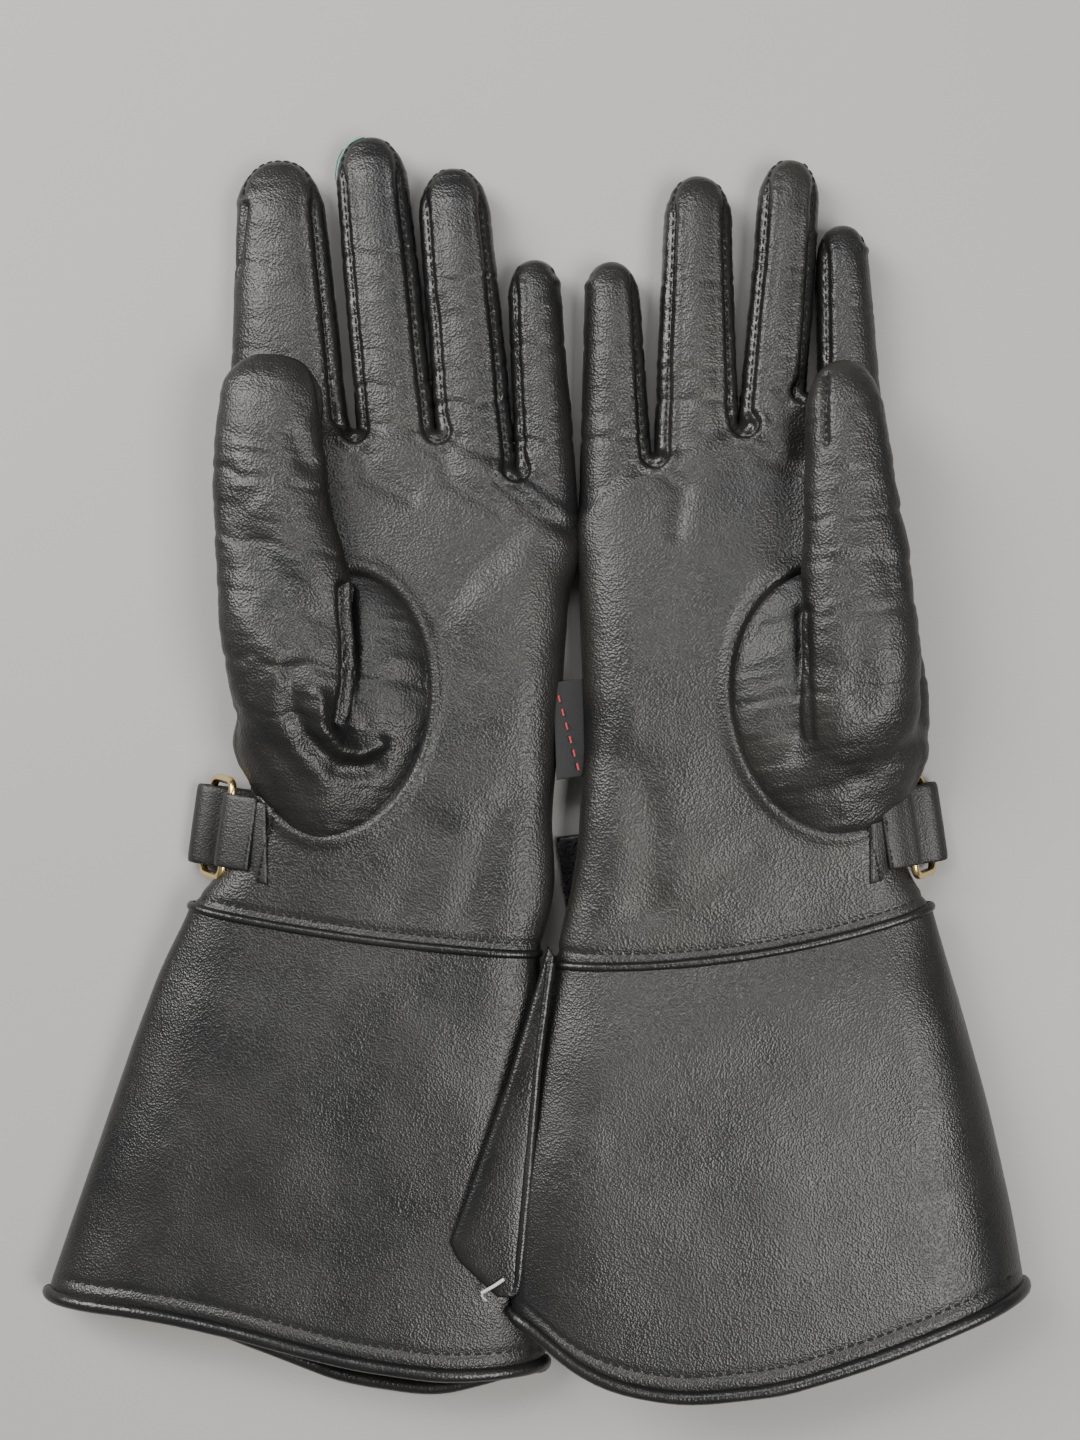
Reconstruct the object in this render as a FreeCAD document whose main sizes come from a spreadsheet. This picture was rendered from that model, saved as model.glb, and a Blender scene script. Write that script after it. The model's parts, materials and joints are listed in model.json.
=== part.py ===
import FreeCAD, Part
import math
import os
import Sketcher
from FreeCAD import Placement, Rotation, Vector

# A pair of leather welding gauntlets lying palm up, the right cuff over the left one.
# Each glove is drawn in its own frame: x across the hand with the thumb on the negative
# side (mirrored for the right glove), y from the wrist seam towards the fingertips and
# z up from the table. layout_* cells then put each glove in the pair's frame.

doc = FreeCAD.newDocument("welding_gloves")
sheet = doc.addObject("Spreadsheet::Sheet", "dims")
sheet.Label = "dims"

SHARED = {
    "leather": 1.2,
    "cuff_leather": 1.4,
    "lining": 0.8,
    "joint_gap": 0.25,
    "thumb_slope": 30.0,
    "pinky_slope": 38.0,
    "finger_low": 0.5,
    "finger_high": 17.0,
    "finger_fillet": 6.4,
    "thumb_low": 22.5,
    "thumb_high": 38.0,
    "thumb_fillet": 6.8,
    "passage_radius": 11.0,
    "fourchette_half": 3.5,
    "knuckle_crotch": 21.5,
    "piping_outset": 0.9,
    "piping_length": 3.2,
    "hem_outset": 0.8,
    "hem_length": 5.0,
    "gusset_width": 7.0,
    "fold_plate_low": 22.8,
    "fold_plate_thickness": 3.0,
    "wire_radius": 1.2,
    "ring_width": 14.6,
    "ring_length": 28.0,
    "ring_bend": 3.0,
    "ring_start": 8.5,
    "ring_height": 17.0,
    "ring_tilt": 59.0,
    "keeper_radius": 3.0,
    "keeper_bore": 1.5,
    "keeper_start": 12.0,
    "keeper_length": 21.0,
    "tab_width": 13.0,
    "tab_thickness": 1.2,
    "tab_tilt": 3.0,
    "strap_start": 11.0,
    "strap_width": 23.0,
    "strap_thickness": 1.6,
    "strap_low": 0.2,
    "strap_bar_height": 4.4,
    "strap_fold_radius": 2.6,
    "strap_back_height": 4.2,
    "strap_drop": 1.2,
    "strap_flat_from": -16.0,
    "strap_sewn_end": 30.0,
    "strap_fold_tail": -25.0,
    "strap_end_start": -12.0,
    "strap_end_low": 0.4,
    "hook_start": 6.0,
    "hook_gap": 0.1,
    "hook_thickness": 1.2,
}

# Cross-sections of the hand and the cuff: distance from the wrist seam, the two side
# edges, the lowest and highest points, the height of each side edge and half its thickness.
STATION = ("at", "thumb", "pinky", "low", "high", "thumb_rise", "pinky_rise", "half")

GLOVES = {
    "left": {
        "layout": (-48.42, -48.11, -7.8),
        "hand": {
            "wrist": (0.25, -47.0, 49.5, 6.0, 21.0, 13.5, 12.0, 4.5),
            "cinch": (5.0, -39.5, 49.5, 6.0, 21.0, 13.5, 12.0, 4.5),
            "heel": (36.0, -36.5, 48.5, 6.0, 21.5, 13.5, 12.5, 4.5),
            "web": (64.0, -46.5, 47.0, -0.3, 22.0, 11.0, 11.0, 5.0),
            "palm": (100.0, -55.0, 45.2, -0.3, 22.0, 10.0, 10.0, 5.0),
            "knuckle": (138.0, -59.5, 41.0, -0.3, 18.0, 8.75, 8.75, 5.0),
        },
        "cuff": {
            "seam": (-0.25, -47.0, 49.5, 6.0, 21.0, 13.5, 12.0, 4.5),
            "flare": (-20.0, -56.5, 54.5, 1.5, 22.0, 11.0, 8.0, 4.0),
            "middle": (-62.0, -66.0, 61.0, 1.0, 23.0, 10.0, 7.0, 4.0),
            "lower": (-95.0, -72.5, 66.0, 1.0, 24.0, 10.0, 7.0, 4.0),
            "hem": (-121.0, -77.0, 64.0, 1.0, 25.0, 10.0, 7.0, 4.0),
        },
        # base x and y, lean towards the thumb, width at base and tip, length, curl line
        "fingers": {
            "index": (-38.0, 118.0, 10.0, 35.0, 25.0, 100.0, 45.7),
            "middle": (-4.7, 118.0, 13.5, 22.5, 20.5, 112.0, 51.4),
            "ring_finger": (18.1, 118.0, 13.0, 22.5, 20.0, 105.7, 46.2),
            "pinky": (36.6, 122.0, 11.0, 17.5, 15.0, 77.4, 36.7),
        },
        "thumb": (-20.4, 29.0, 13.4, 38.0, 29.0, 129.5, 34.0),
        "ring_at": -42.5,
        "strap_tip": 40.0,
    },
    "right": {
        "layout": (59.78, -49.51, 8.5),
        "hand": {
            "wrist": (0.25, -53.0, 53.0, 6.0, 21.0, 13.5, 14.5, 4.5),
            "cinch": (5.0, -48.5, 52.0, 6.0, 21.0, 13.5, 14.0, 4.5),
            "heel": (36.0, -45.5, 42.0, 6.0, 21.5, 13.5, 13.0, 4.5),
            "web": (64.0, -58.0, 36.5, -0.3, 22.0, 11.0, 11.0, 5.0),
            "palm": (100.0, -61.0, 32.0, -0.3, 22.0, 10.0, 10.0, 5.0),
            "knuckle": (138.0, -61.5, 26.7, -0.3, 18.0, 8.75, 8.75, 5.0),
        },
        "cuff": {
            "seam": (-0.25, -53.0, 53.0, 6.0, 21.0, 13.5, 14.5, 4.5),
            "flare": (-30.0, -59.5, 64.0, 1.5, 26.0, 11.0, 18.5, 4.0),
            "middle": (-62.0, -63.3, 73.0, 1.0, 29.5, 10.0, 24.0, 4.0),
            "lower": (-95.0, -65.3, 80.5, 1.0, 31.5, 10.0, 25.0, 4.0),
            "hem": (-122.0, -64.0, 64.0, 1.0, 31.5, 10.0, 25.0, 4.0),
        },
        "fingers": {
            "index": (-51.3, 118.0, 5.8, 20.0, 14.0, 80.4, 42.2),
            "middle": (-24.8, 118.0, 13.0, 19.5, 17.0, 103.7, 49.3),
            "ring_finger": (-4.9, 118.0, 8.8, 25.0, 18.5, 101.7, 47.6),
            "pinky": (18.0, 120.0, 7.0, 21.5, 15.0, 78.0, 37.3),
        },
        "thumb": (-38.8, 28.0, 5.0, 34.0, 25.0, 125.5, 34.0),
        "ring_at": -51.5,
        "strap_tip": 48.5,
    },
}
FINGER = ("x", "y", "lean", "base_width", "tip_width", "length", "curl")

# Outline of the folded gusset that shows beside the right cuff.
FOLD_OUTLINE = {"top": (63.0, -28.0), "side": (88.0, -60.0), "tip": (95.5, -76.0),
                "foot": (80.0, -93.0), "root": (72.0, -72.0)}

next_row = 1


def cell(alias, value):
    """Write one named number into the sheet."""
    global next_row
    sheet.set(f"A{next_row}", alias)
    sheet.set(f"B{next_row}", str(value))
    sheet.setAlias(f"B{next_row}", alias)
    next_row += 1


def fill_sheet():
    for alias, value in SHARED.items():
        cell(alias, value)
    for corner, (x, y) in FOLD_OUTLINE.items():
        cell(f"fold_{corner}_x", x)
        cell(f"fold_{corner}_y", y)
    for glove, spec in GLOVES.items():
        for word, value in zip(("x", "y", "turn"), spec["layout"]):
            cell(f"{glove}_layout_{word}", value)
        for part in ("hand", "cuff"):
            for station, values in spec[part].items():
                for word, value in zip(STATION, values):
                    cell(f"{glove}_{part}_{station}_{word}", value)
        for finger, values in list(spec["fingers"].items()) + [("thumb", spec["thumb"])]:
            for word, value in zip(FINGER, values):
                cell(f"{glove}_{finger}_{word}", value)
        cell(f"{glove}_ring_at", spec["ring_at"])
        cell(f"{glove}_strap_tip", spec["strap_tip"])
    doc.recompute()


def number(expression):
    """Value of an expression over the sheet's cells."""
    result = sheet.evalExpression(expression)
    return float(getattr(result, "Value", result))


def flip(side, expression):
    """The x of a thumb-left drawing, mirrored for the right glove."""
    return expression if side > 0 else f"-({expression})"


def place(x, y, z=0.0, turn=0.0):
    return Placement(Vector(x, y, z), Rotation(Vector(0, 0, 1), turn))


def polygon(sketch, corners, arcs=()):
    """Closed outline through corners; arcs holds the first corner of each half-turn edge."""
    spots = [Vector(number(x), number(y), 0) for x, y in corners]
    count = len(spots)
    ends = []
    for i in range(count):
        a, b = spots[i], spots[(i + 1) % count]
        if i in arcs:
            centre = (a + b) * 0.5
            ahead = spots[(i + 2) % count]
            bulge = 1.0 if centre.x > ahead.x else -1.0
            start = -math.pi / 2 if bulge > 0 else math.pi / 2
            circle = Part.Circle(centre, Vector(0, 0, 1), (b - a).Length / 2)
            sketch.addGeometry(Part.ArcOfCircle(circle, start, start + math.pi))
            first = centre.y - bulge * (b - a).Length / 2
            ends.append((1, 2) if abs(first - a.y) < 1e-6 else (2, 1))
        else:
            sketch.addGeometry(Part.LineSegment(a, b))
            ends.append((1, 2))
    for i in range(count):
        j = (i + 1) % count
        sketch.addConstraint(Sketcher.Constraint("Coincident", i, ends[i][1], j, ends[j][0]))
    for i in range(count):
        for kind, k in (("DistanceX", 0), ("DistanceY", 1)):
            value = spots[i][k]
            mark = Sketcher.Constraint(kind, -1, 1, i, ends[i][0], value)
            index = sketch.addConstraint(mark)
            sketch.setExpression(f"Constraints[{index}]", corners[i][k])
    for i in arcs:
        index = sketch.addConstraint(Sketcher.Constraint("DistanceX", -1, 1, i, 3, spots[i].x))
        sketch.setExpression(f"Constraints[{index}]", corners[i][0])


def cross_section(name, corners, at):
    """Closed outline in the plane y = at, drawn in x and z."""
    sketch = doc.addObject("Sketcher::SketchObject", name)
    sketch.Placement = Placement(Vector(0, number(at), 0), Rotation(Vector(1, 0, 0), 90))
    sketch.setExpression("Placement.Base.y", at)
    polygon(sketch, corners)
    return sketch


def loft(name, sections):
    body = doc.addObject("Part::Loft", name)
    body.Sections = sections
    body.Solid = True
    body.Ruled = True
    return body


def skin_loft(glove, part, side, name, inset, first_reach=0.0, last_reach=0.0):
    """Solid through the stations of a hand or cuff, its surface moved in by inset."""
    stations = list(GLOVES[glove][part])
    sections = []
    for i, station in enumerate(stations):
        c = {word: f"dims.{glove}_{part}_{station}_{word}" for word in STATION}
        half = f"({c['half']} - {inset})"
        corners = [
            (f"{c['thumb']} + {inset}", f"{c['thumb_rise']} - {half}"),
            (f"{c['thumb']} + dims.thumb_slope", f"{c['low']} + {inset}"),
            (f"{c['pinky']} - dims.pinky_slope", f"{c['low']} + {inset}"),
            (f"{c['pinky']} - {inset}", f"{c['pinky_rise']} - {half}"),
            (f"{c['pinky']} - {inset}", f"{c['pinky_rise']} + {half}"),
            (f"{c['pinky']} - dims.pinky_slope", f"{c['high']} - {inset}"),
            (f"{c['thumb']} + dims.thumb_slope", f"{c['high']} - {inset}"),
            (f"{c['thumb']} + {inset}", f"{c['thumb_rise']} + {half}"),
        ]
        reach = first_reach if i == 0 else last_reach if i == len(stations) - 1 else 0.0
        corners = [(flip(side, x), z) for x, z in corners]
        sections.append(cross_section(f"{name}_{station}", corners, f"{c['at']} + {reach}"))
    return loft(name, sections)


def zone_loft(glove, part, side, name, edges, first_reach, last_reach):
    """Cutting solid whose four corners at each station come from edges(cells)."""
    stations = list(GLOVES[glove][part])
    sections = []
    for i, station in enumerate(stations):
        c = {word: f"dims.{glove}_{part}_{station}_{word}" for word in STATION}
        reach = first_reach if i == 0 else last_reach if i == len(stations) - 1 else 0.0
        corners = [(flip(side, x), z) for x, z in edges(c)]
        sections.append(cross_section(f"{name}_{station}", corners, f"{c['at']} + {reach}"))
    return loft(name, sections)


def upper_half(c):
    """Everything above the line that joins the two side seams."""
    return [(f"{c['thumb']} - 12", c["thumb_rise"]), (f"{c['pinky']} + 12", c["pinky_rise"]),
            (f"{c['pinky']} + 12", "60"), (f"{c['thumb']} - 12", "60")]


def gusset_strip(c):
    """The strip beside the little finger's edge."""
    inner = f"{c['pinky']} - dims.gusset_width"
    return [(inner, "-5"), (f"{c['pinky']} + 12", "-5"), (f"{c['pinky']} + 12", "60"),
            (inner, "60")]


def box(name, x0, x1, y0, y1, z0, z1, side=1):
    """Part::Box between six expressions, x mirrored for the right glove."""
    if side < 0:
        x0, x1 = f"-({x1})", f"-({x0})"
    block = doc.addObject("Part::Box", name)
    block.setExpression("Length", f"({x1}) - ({x0})")
    block.setExpression("Width", f"({y1}) - ({y0})")
    block.setExpression("Height", f"({z1}) - ({z0})")
    block.setExpression("Placement.Base.x", x0)
    block.setExpression("Placement.Base.y", y0)
    block.setExpression("Placement.Base.z", z0)
    return block


def cylinder(name, radius, length, placement):
    rod = doc.addObject("Part::Cylinder", name)
    rod.setExpression("Radius", radius)
    rod.setExpression("Height", length)
    rod.Placement = placement
    return rod


def cut(name, base, tool, placement=None):
    result = doc.addObject("Part::Cut", name)
    result.Base, result.Tool = base, tool
    if placement:
        result.Placement = placement
    return result


def common(name, base, tool, placement=None):
    result = doc.addObject("Part::Common", name)
    result.Base, result.Tool = base, tool
    if placement:
        result.Placement = placement
    return result


def fuse(name, shapes, placement=None):
    result = doc.addObject("Part::MultiFuse", name)
    result.Shapes = shapes
    if placement:
        result.Placement = placement
    return result


def sketch_on(body, role, name):
    sketch = body.newObject("Sketcher::SketchObject", name)
    plane = [f for f in body.Origin.OriginFeatures if f.Role == role][0]
    sketch.AttachmentSupport = [(plane, "")]
    sketch.MapMode = "FlatFace"
    return sketch


def pill(name, prefix, low, high, fillet, inset):
    """Tapered tube blank with round ends: base at the origin, tip along +y."""
    body = doc.addObject("PartDesign::Body", name)
    sketch = sketch_on(body, "XY_Plane", f"{name}_outline")
    sketch.setExpression("AttachmentOffset.Base.z", f"{low} + {inset}")
    base_radius = f"dims.{prefix}_base_width / 2 - {inset}"
    tip_radius = f"dims.{prefix}_tip_width / 2 - {inset}"
    base_at = f"dims.{prefix}_base_width / 2"
    tip_at = f"dims.{prefix}_length - dims.{prefix}_tip_width / 2"
    rb, rt, yb, yt = (number(e) for e in (base_radius, tip_radius, base_at, tip_at))
    tilt = math.asin((rb - rt) / (yt - yb))
    ends = [Vector(rb * math.cos(tilt), yb + rb * math.sin(tilt), 0),
            Vector(rt * math.cos(tilt), yt + rt * math.sin(tilt), 0)]
    across = [Vector(-v.x, v.y, 0) for v in ends]
    up = Vector(0, 0, 1)
    sketch.addGeometry(Part.ArcOfCircle(Part.Circle(Vector(0, yb, 0), up, rb),
                                        math.pi - tilt, 2 * math.pi + tilt))
    sketch.addGeometry(Part.LineSegment(ends[0], ends[1]))
    sketch.addGeometry(Part.ArcOfCircle(Part.Circle(Vector(0, yt, 0), up, rt),
                                        tilt, math.pi - tilt))
    sketch.addGeometry(Part.LineSegment(across[1], across[0]))
    rule = Sketcher.Constraint
    for i in range(4):
        sketch.addConstraint(rule("Tangent", i, 2, (i + 1) % 4, 1))
    sketch.addConstraint(rule("PointOnObject", 0, 3, -2))
    sketch.addConstraint(rule("PointOnObject", 2, 3, -2))
    for mark, expression in ((rule("Radius", 0, rb), base_radius),
                             (rule("Radius", 2, rt), tip_radius),
                             (rule("DistanceY", -1, 1, 0, 3, yb), base_at),
                             (rule("DistanceY", -1, 1, 2, 3, yt), tip_at)):
        index = sketch.addConstraint(mark)
        sketch.setExpression(f"Constraints[{index}]", expression)
    pad = body.newObject("PartDesign::Pad", f"{name}_pad")
    pad.Profile = sketch
    pad.Length = number(f"{high} - {low} - 2 * {inset}")
    pad.setExpression("Length", f"{high} - {low} - 2 * {inset}")
    doc.recompute()
    rims = []
    for i, edge in enumerate(pad.Shape.Edges, 1):
        if edge.BoundBox.ZLength < 1e-6:
            rims.append(f"Edge{i}")
    rounding = body.newObject("PartDesign::Fillet", f"{name}_rounding")
    rounding.Base = (pad, rims)
    rounding.Radius = number(f"{fillet} - {inset}")
    rounding.setExpression("Radius", f"{fillet} - {inset}")
    body.Tip = rounding
    doc.recompute()
    return body


nodes = []


def node(piece, name, placement):
    """Name a finished sub-part, put it in the pair's frame and list it for export."""
    piece.Label = name
    piece.Placement = placement
    nodes.append(piece)


def finger(glove, side, name, glove_place):
    """One finger: returns what the hand needs and makes the three moving pieces."""
    prefix = f"{glove}_{name}"
    low, high, fillet = "dims.finger_low", "dims.finger_high", "dims.finger_fillet"
    outer = pill(f"{prefix}_outer", prefix, low, high, fillet, "0")
    inner = pill(f"{prefix}_inner", prefix, low, high, fillet, "dims.leather")
    curl, length = f"dims.{prefix}_curl", f"dims.{prefix}_length"
    stub_end = f"{curl} - dims.joint_gap"
    local = place(side * number(f"dims.{prefix}_x"), number(f"dims.{prefix}_y"), 0,
                  side * number(f"dims.{prefix}_lean"))
    stub_box = box(f"{prefix}_stub_box", "-25", "25", "-5", stub_end, "-2", "30")
    stub = common(f"{prefix}_stub", outer, stub_box, local)
    bore_box = box(f"{prefix}_bore_box", "-25", "25", "-5", f"{curl} + 5", "-2", "30")
    bore = common(f"{prefix}_bore", inner, bore_box, local)

    half = f"dims.{prefix}_base_width / 2"
    reach_in = "0" if name == "index" else f"-({half})"
    reach_out = "0" if name == "pinky" else half
    middle = "(dims.finger_low + dims.finger_high) / 2"
    band = (f"{middle} - dims.fourchette_half", f"{middle} + dims.fourchette_half")
    stub_band = box(f"{prefix}_stub_band", reach_in, reach_out, "dims.knuckle_crotch",
                    f"{curl} + 2", band[0], band[1], side)
    moved_band = common(f"{prefix}_moved_band", stub_band, outer, local)

    shell = cut(f"{prefix}_shell", outer, inner)
    tip_box = box(f"{prefix}_tip_box", "-25", "25", f"{curl} + dims.joint_gap",
                  f"{length} + 5", "-2", "30")
    tip = common(f"{prefix}_tip", shell, tip_box)
    tip_band = box(f"{prefix}_tip_band", reach_in, reach_out, f"{curl} - 2",
                   f"{length} + 5", band[0], band[1], side)
    top_box = box(f"{prefix}_top_box", "-25", "25", "-5", f"{length} + 5", middle, "30")
    panels = cut(f"{prefix}_panels", tip, tip_band)
    full = glove_place.multiply(local)
    node(common(f"{prefix}_front_part", panels, top_box), f"{prefix}_front", full)
    node(cut(f"{prefix}_back_part", panels, top_box), f"{prefix}_back", full)
    node(common(f"{prefix}_side_part", tip, tip_band), f"{prefix}_fourchette", full)
    return stub, bore, moved_band


def thumb(glove, side, glove_place):
    """Thumb folded over the palm: a fixed gusset at its base and a moving tube."""
    prefix = f"{glove}_thumb"
    low, high, fillet = "dims.thumb_low", "dims.thumb_high", "dims.thumb_fillet"
    outer = pill(f"{prefix}_outer", prefix, low, high, fillet, "0")
    inner = pill(f"{prefix}_inner", prefix, low, high, fillet, "dims.leather")
    shell = cut(f"{prefix}_shell", outer, inner)
    local = place(side * number(f"dims.{prefix}_x"), number(f"dims.{prefix}_y"), 0,
                  side * number(f"dims.{prefix}_lean"))
    full = glove_place.multiply(local)
    hinge, length = f"dims.{prefix}_curl", f"dims.{prefix}_length"
    middle = "(dims.thumb_low + dims.thumb_high) / 2"
    root_box = box(f"{prefix}_root_box", "-30", "30", "-5", f"{hinge} - dims.joint_gap",
                   "15", "45")
    tip_box = box(f"{prefix}_tip_box", "-30", "30", f"{hinge} + dims.joint_gap",
                  f"{length} + 5", "15", "45")
    top_box = box(f"{prefix}_top_box", "-30", "30", "-5", f"{length} + 5", middle, "45")
    root = common(f"{prefix}_root", shell, root_box)
    passage = cylinder(f"{prefix}_passage", "dims.passage_radius", "12",
                       Placement(Vector(0, number(f"dims.{prefix}_base_width / 2"), 15),
                                 Rotation()))
    node(cut(f"{prefix}_gusset_part", root, passage), f"{prefix}_gusset", full)
    tip = common(f"{prefix}_tip", shell, tip_box)
    node(common(f"{prefix}_front_part", tip, top_box), f"{prefix}_front", full)
    node(cut(f"{prefix}_back_part", tip, top_box), f"{prefix}_back", full)
    opening = doc.addObject("Part::Cylinder", f"{prefix}_opening")
    opening.setExpression("Radius", "dims.passage_radius")
    opening.Height = 12
    opening.Placement = local.multiply(passage.Placement)
    return opening


def hand(glove, side, glove_place):
    """Palm and back panels with the finger stubs, their side strips and the lining."""
    stubs, bores, bands = [], [], []
    for name in GLOVES[glove]["fingers"]:
        stub, bore, band = finger(glove, side, name, glove_place)
        stubs.append(stub)
        bores.append(bore)
        bands.append(band)
    opening = thumb(glove, side, glove_place)
    tag = f"{glove}_hand"
    outside = skin_loft(glove, "hand", side, f"{tag}_outside", "0")
    inside = skin_loft(glove, "hand", side, f"{tag}_inside", "dims.leather", -1.0, -1.2)
    core = skin_loft(glove, "hand", side, f"{tag}_core",
                     "(dims.leather + dims.lining)", -1.0, -2.0)
    solid = fuse(f"{tag}_solid", [outside] + stubs)
    hollow = fuse(f"{tag}_hollow", [inside] + bores)
    shell = cut(f"{tag}_shell", solid, hollow)
    side_bands = fuse(f"{tag}_bands", bands)
    upper = zone_loft(glove, "hand", side, f"{tag}_upper", upper_half, -2.0, 60.0)
    table = box(f"{tag}_table", "-90", "90", "-5", "260", "-5", "0")
    panels = cut(f"{tag}_panels", cut(f"{tag}_flat", shell, table), side_bands)
    palm = common(f"{tag}_palm", panels, upper)
    node(cut(f"{tag}_palm_part", palm, opening), f"{glove}_palm_panel", glove_place)
    node(cut(f"{tag}_back_part", panels, upper), f"{glove}_back_panel", glove_place)
    node(common(f"{tag}_side_part", shell, side_bands), f"{glove}_fourchettes", glove_place)

    lining = cut(f"{tag}_lining_blank", inside, core)
    start, end = f"dims.{glove}_hand_wrist_at", f"dims.{glove}_hand_knuckle_at - 8"
    trim = box(f"{tag}_lining_trim", "-90", "90", start, end, "-5", "60")
    lining = common(f"{tag}_lining_open", lining, trim)
    holes = fuse(f"{tag}_lining_holes", bores + [opening])
    node(cut(f"{tag}_lining_part", lining, holes), f"{glove}_hand_lining", glove_place)


def cuff(glove, side, glove_place):
    """Flared cuff: two panels, side gusset, wrist piping, hem binding and lining."""
    tag = f"{glove}_cuff"
    seam, hem = f"dims.{tag}_seam_at", f"dims.{tag}_hem_at"
    outside = skin_loft(glove, "cuff", side, f"{tag}_outside", "0")
    inside = skin_loft(glove, "cuff", side, f"{tag}_inside", "dims.cuff_leather", 1.0, -1.0)
    core = skin_loft(glove, "cuff", side, f"{tag}_core",
                     "(dims.cuff_leather + dims.lining)", 2.0, -2.0)
    shell = cut(f"{tag}_shell", outside, inside)
    strip = zone_loft(glove, "cuff", side, f"{tag}_strip", gusset_strip, 5.0, -5.0)
    upper = zone_loft(glove, "cuff", side, f"{tag}_upper", upper_half, 5.0, -5.0)
    panels = cut(f"{tag}_panels", shell, strip)
    node(common(f"{tag}_palm_part", panels, upper), f"{tag}_palm_panel", glove_place)
    node(cut(f"{tag}_back_part", panels, upper), f"{tag}_back_panel", glove_place)
    gusset = common(f"{tag}_gusset_part", shell, strip)
    if glove == "right":
        gusset = fuse(f"{tag}_gusset_folded", [gusset, folded_gusset(side, outside)])
    node(gusset, f"{tag}_gusset", glove_place)

    lining = cut(f"{tag}_lining_blank", inside, core)
    trim = box(f"{tag}_lining_trim", "-120", "120", hem, seam, "-5", "60")
    node(common(f"{tag}_lining_part", lining, trim), f"{tag}_lining", glove_place)

    piping_skin = skin_loft(glove, "cuff", side, f"{glove}_piping_skin",
                            "(0 - dims.piping_outset)")
    piping_box = box(f"{glove}_piping_box", "-120", "120", f"{seam} - dims.piping_length",
                     seam, "-5", "60")
    piping = common(f"{glove}_piping_band", piping_skin, piping_box)
    node(cut(f"{glove}_piping_part", piping, outside), f"{glove}_wrist_piping", glove_place)

    hem_skin = skin_loft(glove, "cuff", side, f"{glove}_hem_skin",
                         "(0 - dims.hem_outset)", 0.0, -1.2)
    hem_box = box(f"{glove}_hem_box", "-120", "120", f"{hem} - 5",
                  f"{hem} + dims.hem_length", "-5", "60")
    band = common(f"{glove}_hem_band", hem_skin, hem_box)
    if glove == "right":
        band = cut(f"{glove}_hem_trimmed", band, doc.getObject("folded_gusset"))
    binding = cut(f"{glove}_hem_ring", band, outside)
    bore = skin_loft(glove, "cuff", side, f"{glove}_hem_bore", "dims.cuff_leather", 0.0, -4.0)
    node(cut(f"{glove}_hem_part", binding, bore), f"{glove}_hem_binding", glove_place)


def folded_gusset(side, outside):
    """Part of the right gusset that is folded outwards and lies on the left cuff."""
    body = doc.addObject("PartDesign::Body", "folded_gusset_plate")
    sketch = sketch_on(body, "XY_Plane", "folded_gusset_outline")
    sketch.setExpression("AttachmentOffset.Base.z", "dims.fold_plate_low")
    polygon(sketch, [(flip(side, f"dims.fold_{corner}_x"), f"dims.fold_{corner}_y")
                     for corner in FOLD_OUTLINE])
    pad = body.newObject("PartDesign::Pad", "folded_gusset_pad")
    pad.Profile = sketch
    pad.setExpression("Length", "dims.fold_plate_thickness")
    doc.recompute()
    plate = cut("folded_gusset", body, outside)
    return plate


def strap(glove, side, glove_place):
    """Wrist strap: the sewn run folded round the ring, and its free end."""
    bar_x = (f"(dims.{glove}_ring_at - dims.ring_width * cos(dims.ring_tilt * 1 deg))")
    thick = "dims.strap_thickness"
    low = "dims.strap_low"
    top = "(dims.strap_bar_height + dims.strap_fold_radius)"
    back = "dims.strap_back_height"
    corners = [
        ("dims.strap_fold_tail", low),
        (bar_x, low),
        (bar_x, f"{top} + {thick}"),
        (f"{bar_x} + 12", f"{top} + {thick} - dims.strap_drop"),
        ("dims.strap_flat_from", f"{back} + {thick}"),
        ("dims.strap_sewn_end", f"{back} + {thick}"),
        ("dims.strap_sewn_end", back),
        ("dims.strap_flat_from", back),
        (f"{bar_x} + 12", f"{top} - dims.strap_drop"),
        (bar_x, top),
        (bar_x, f"{low} + {thick}"),
        ("dims.strap_fold_tail", f"{low} + {thick}"),
    ]
    body = doc.addObject("PartDesign::Body", f"{glove}_strap_body")
    sketch = sketch_on(body, "XZ_Plane", f"{glove}_strap_profile")
    sketch.setExpression("AttachmentOffset.Base.z", "-(dims.strap_start + dims.strap_width)")
    polygon(sketch, [(flip(side, x), z) for x, z in corners], arcs=(1, 9))
    pad = body.newObject("PartDesign::Pad", f"{glove}_strap_pad")
    pad.Profile = sketch
    pad.setExpression("Length", "dims.strap_width")
    doc.recompute()
    node(body, f"{glove}_wrist_strap", glove_place)

    y0, y1 = "dims.strap_start", "dims.strap_start + dims.strap_width"
    end_low = "dims.strap_end_low"
    end_high = f"{end_low} + {thick}"
    tip = f"dims.{glove}_strap_tip"
    free_end = box(f"{glove}_strap_end_part", "dims.strap_end_start", tip, y0, y1,
                   end_low, end_high, side)
    keyed(free_end, f"{glove}_strap_end", glove_place)
    hook = box(f"{glove}_hook_part", "dims.hook_start", tip, f"{y0} + 1", f"{y1} - 1",
               f"{end_high} + dims.hook_gap",
               f"{end_high} + dims.hook_gap + dims.hook_thickness", side)
    keyed(hook, f"{glove}_hook_tape", glove_place)


def keyed(block, name, glove_place):
    """A box already bound by expressions gets its glove placement through a one-piece fuse."""
    wrap = doc.addObject("Part::Compound", f"{name}_placed")
    wrap.Links = [block]
    node(wrap, name, glove_place)


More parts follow.
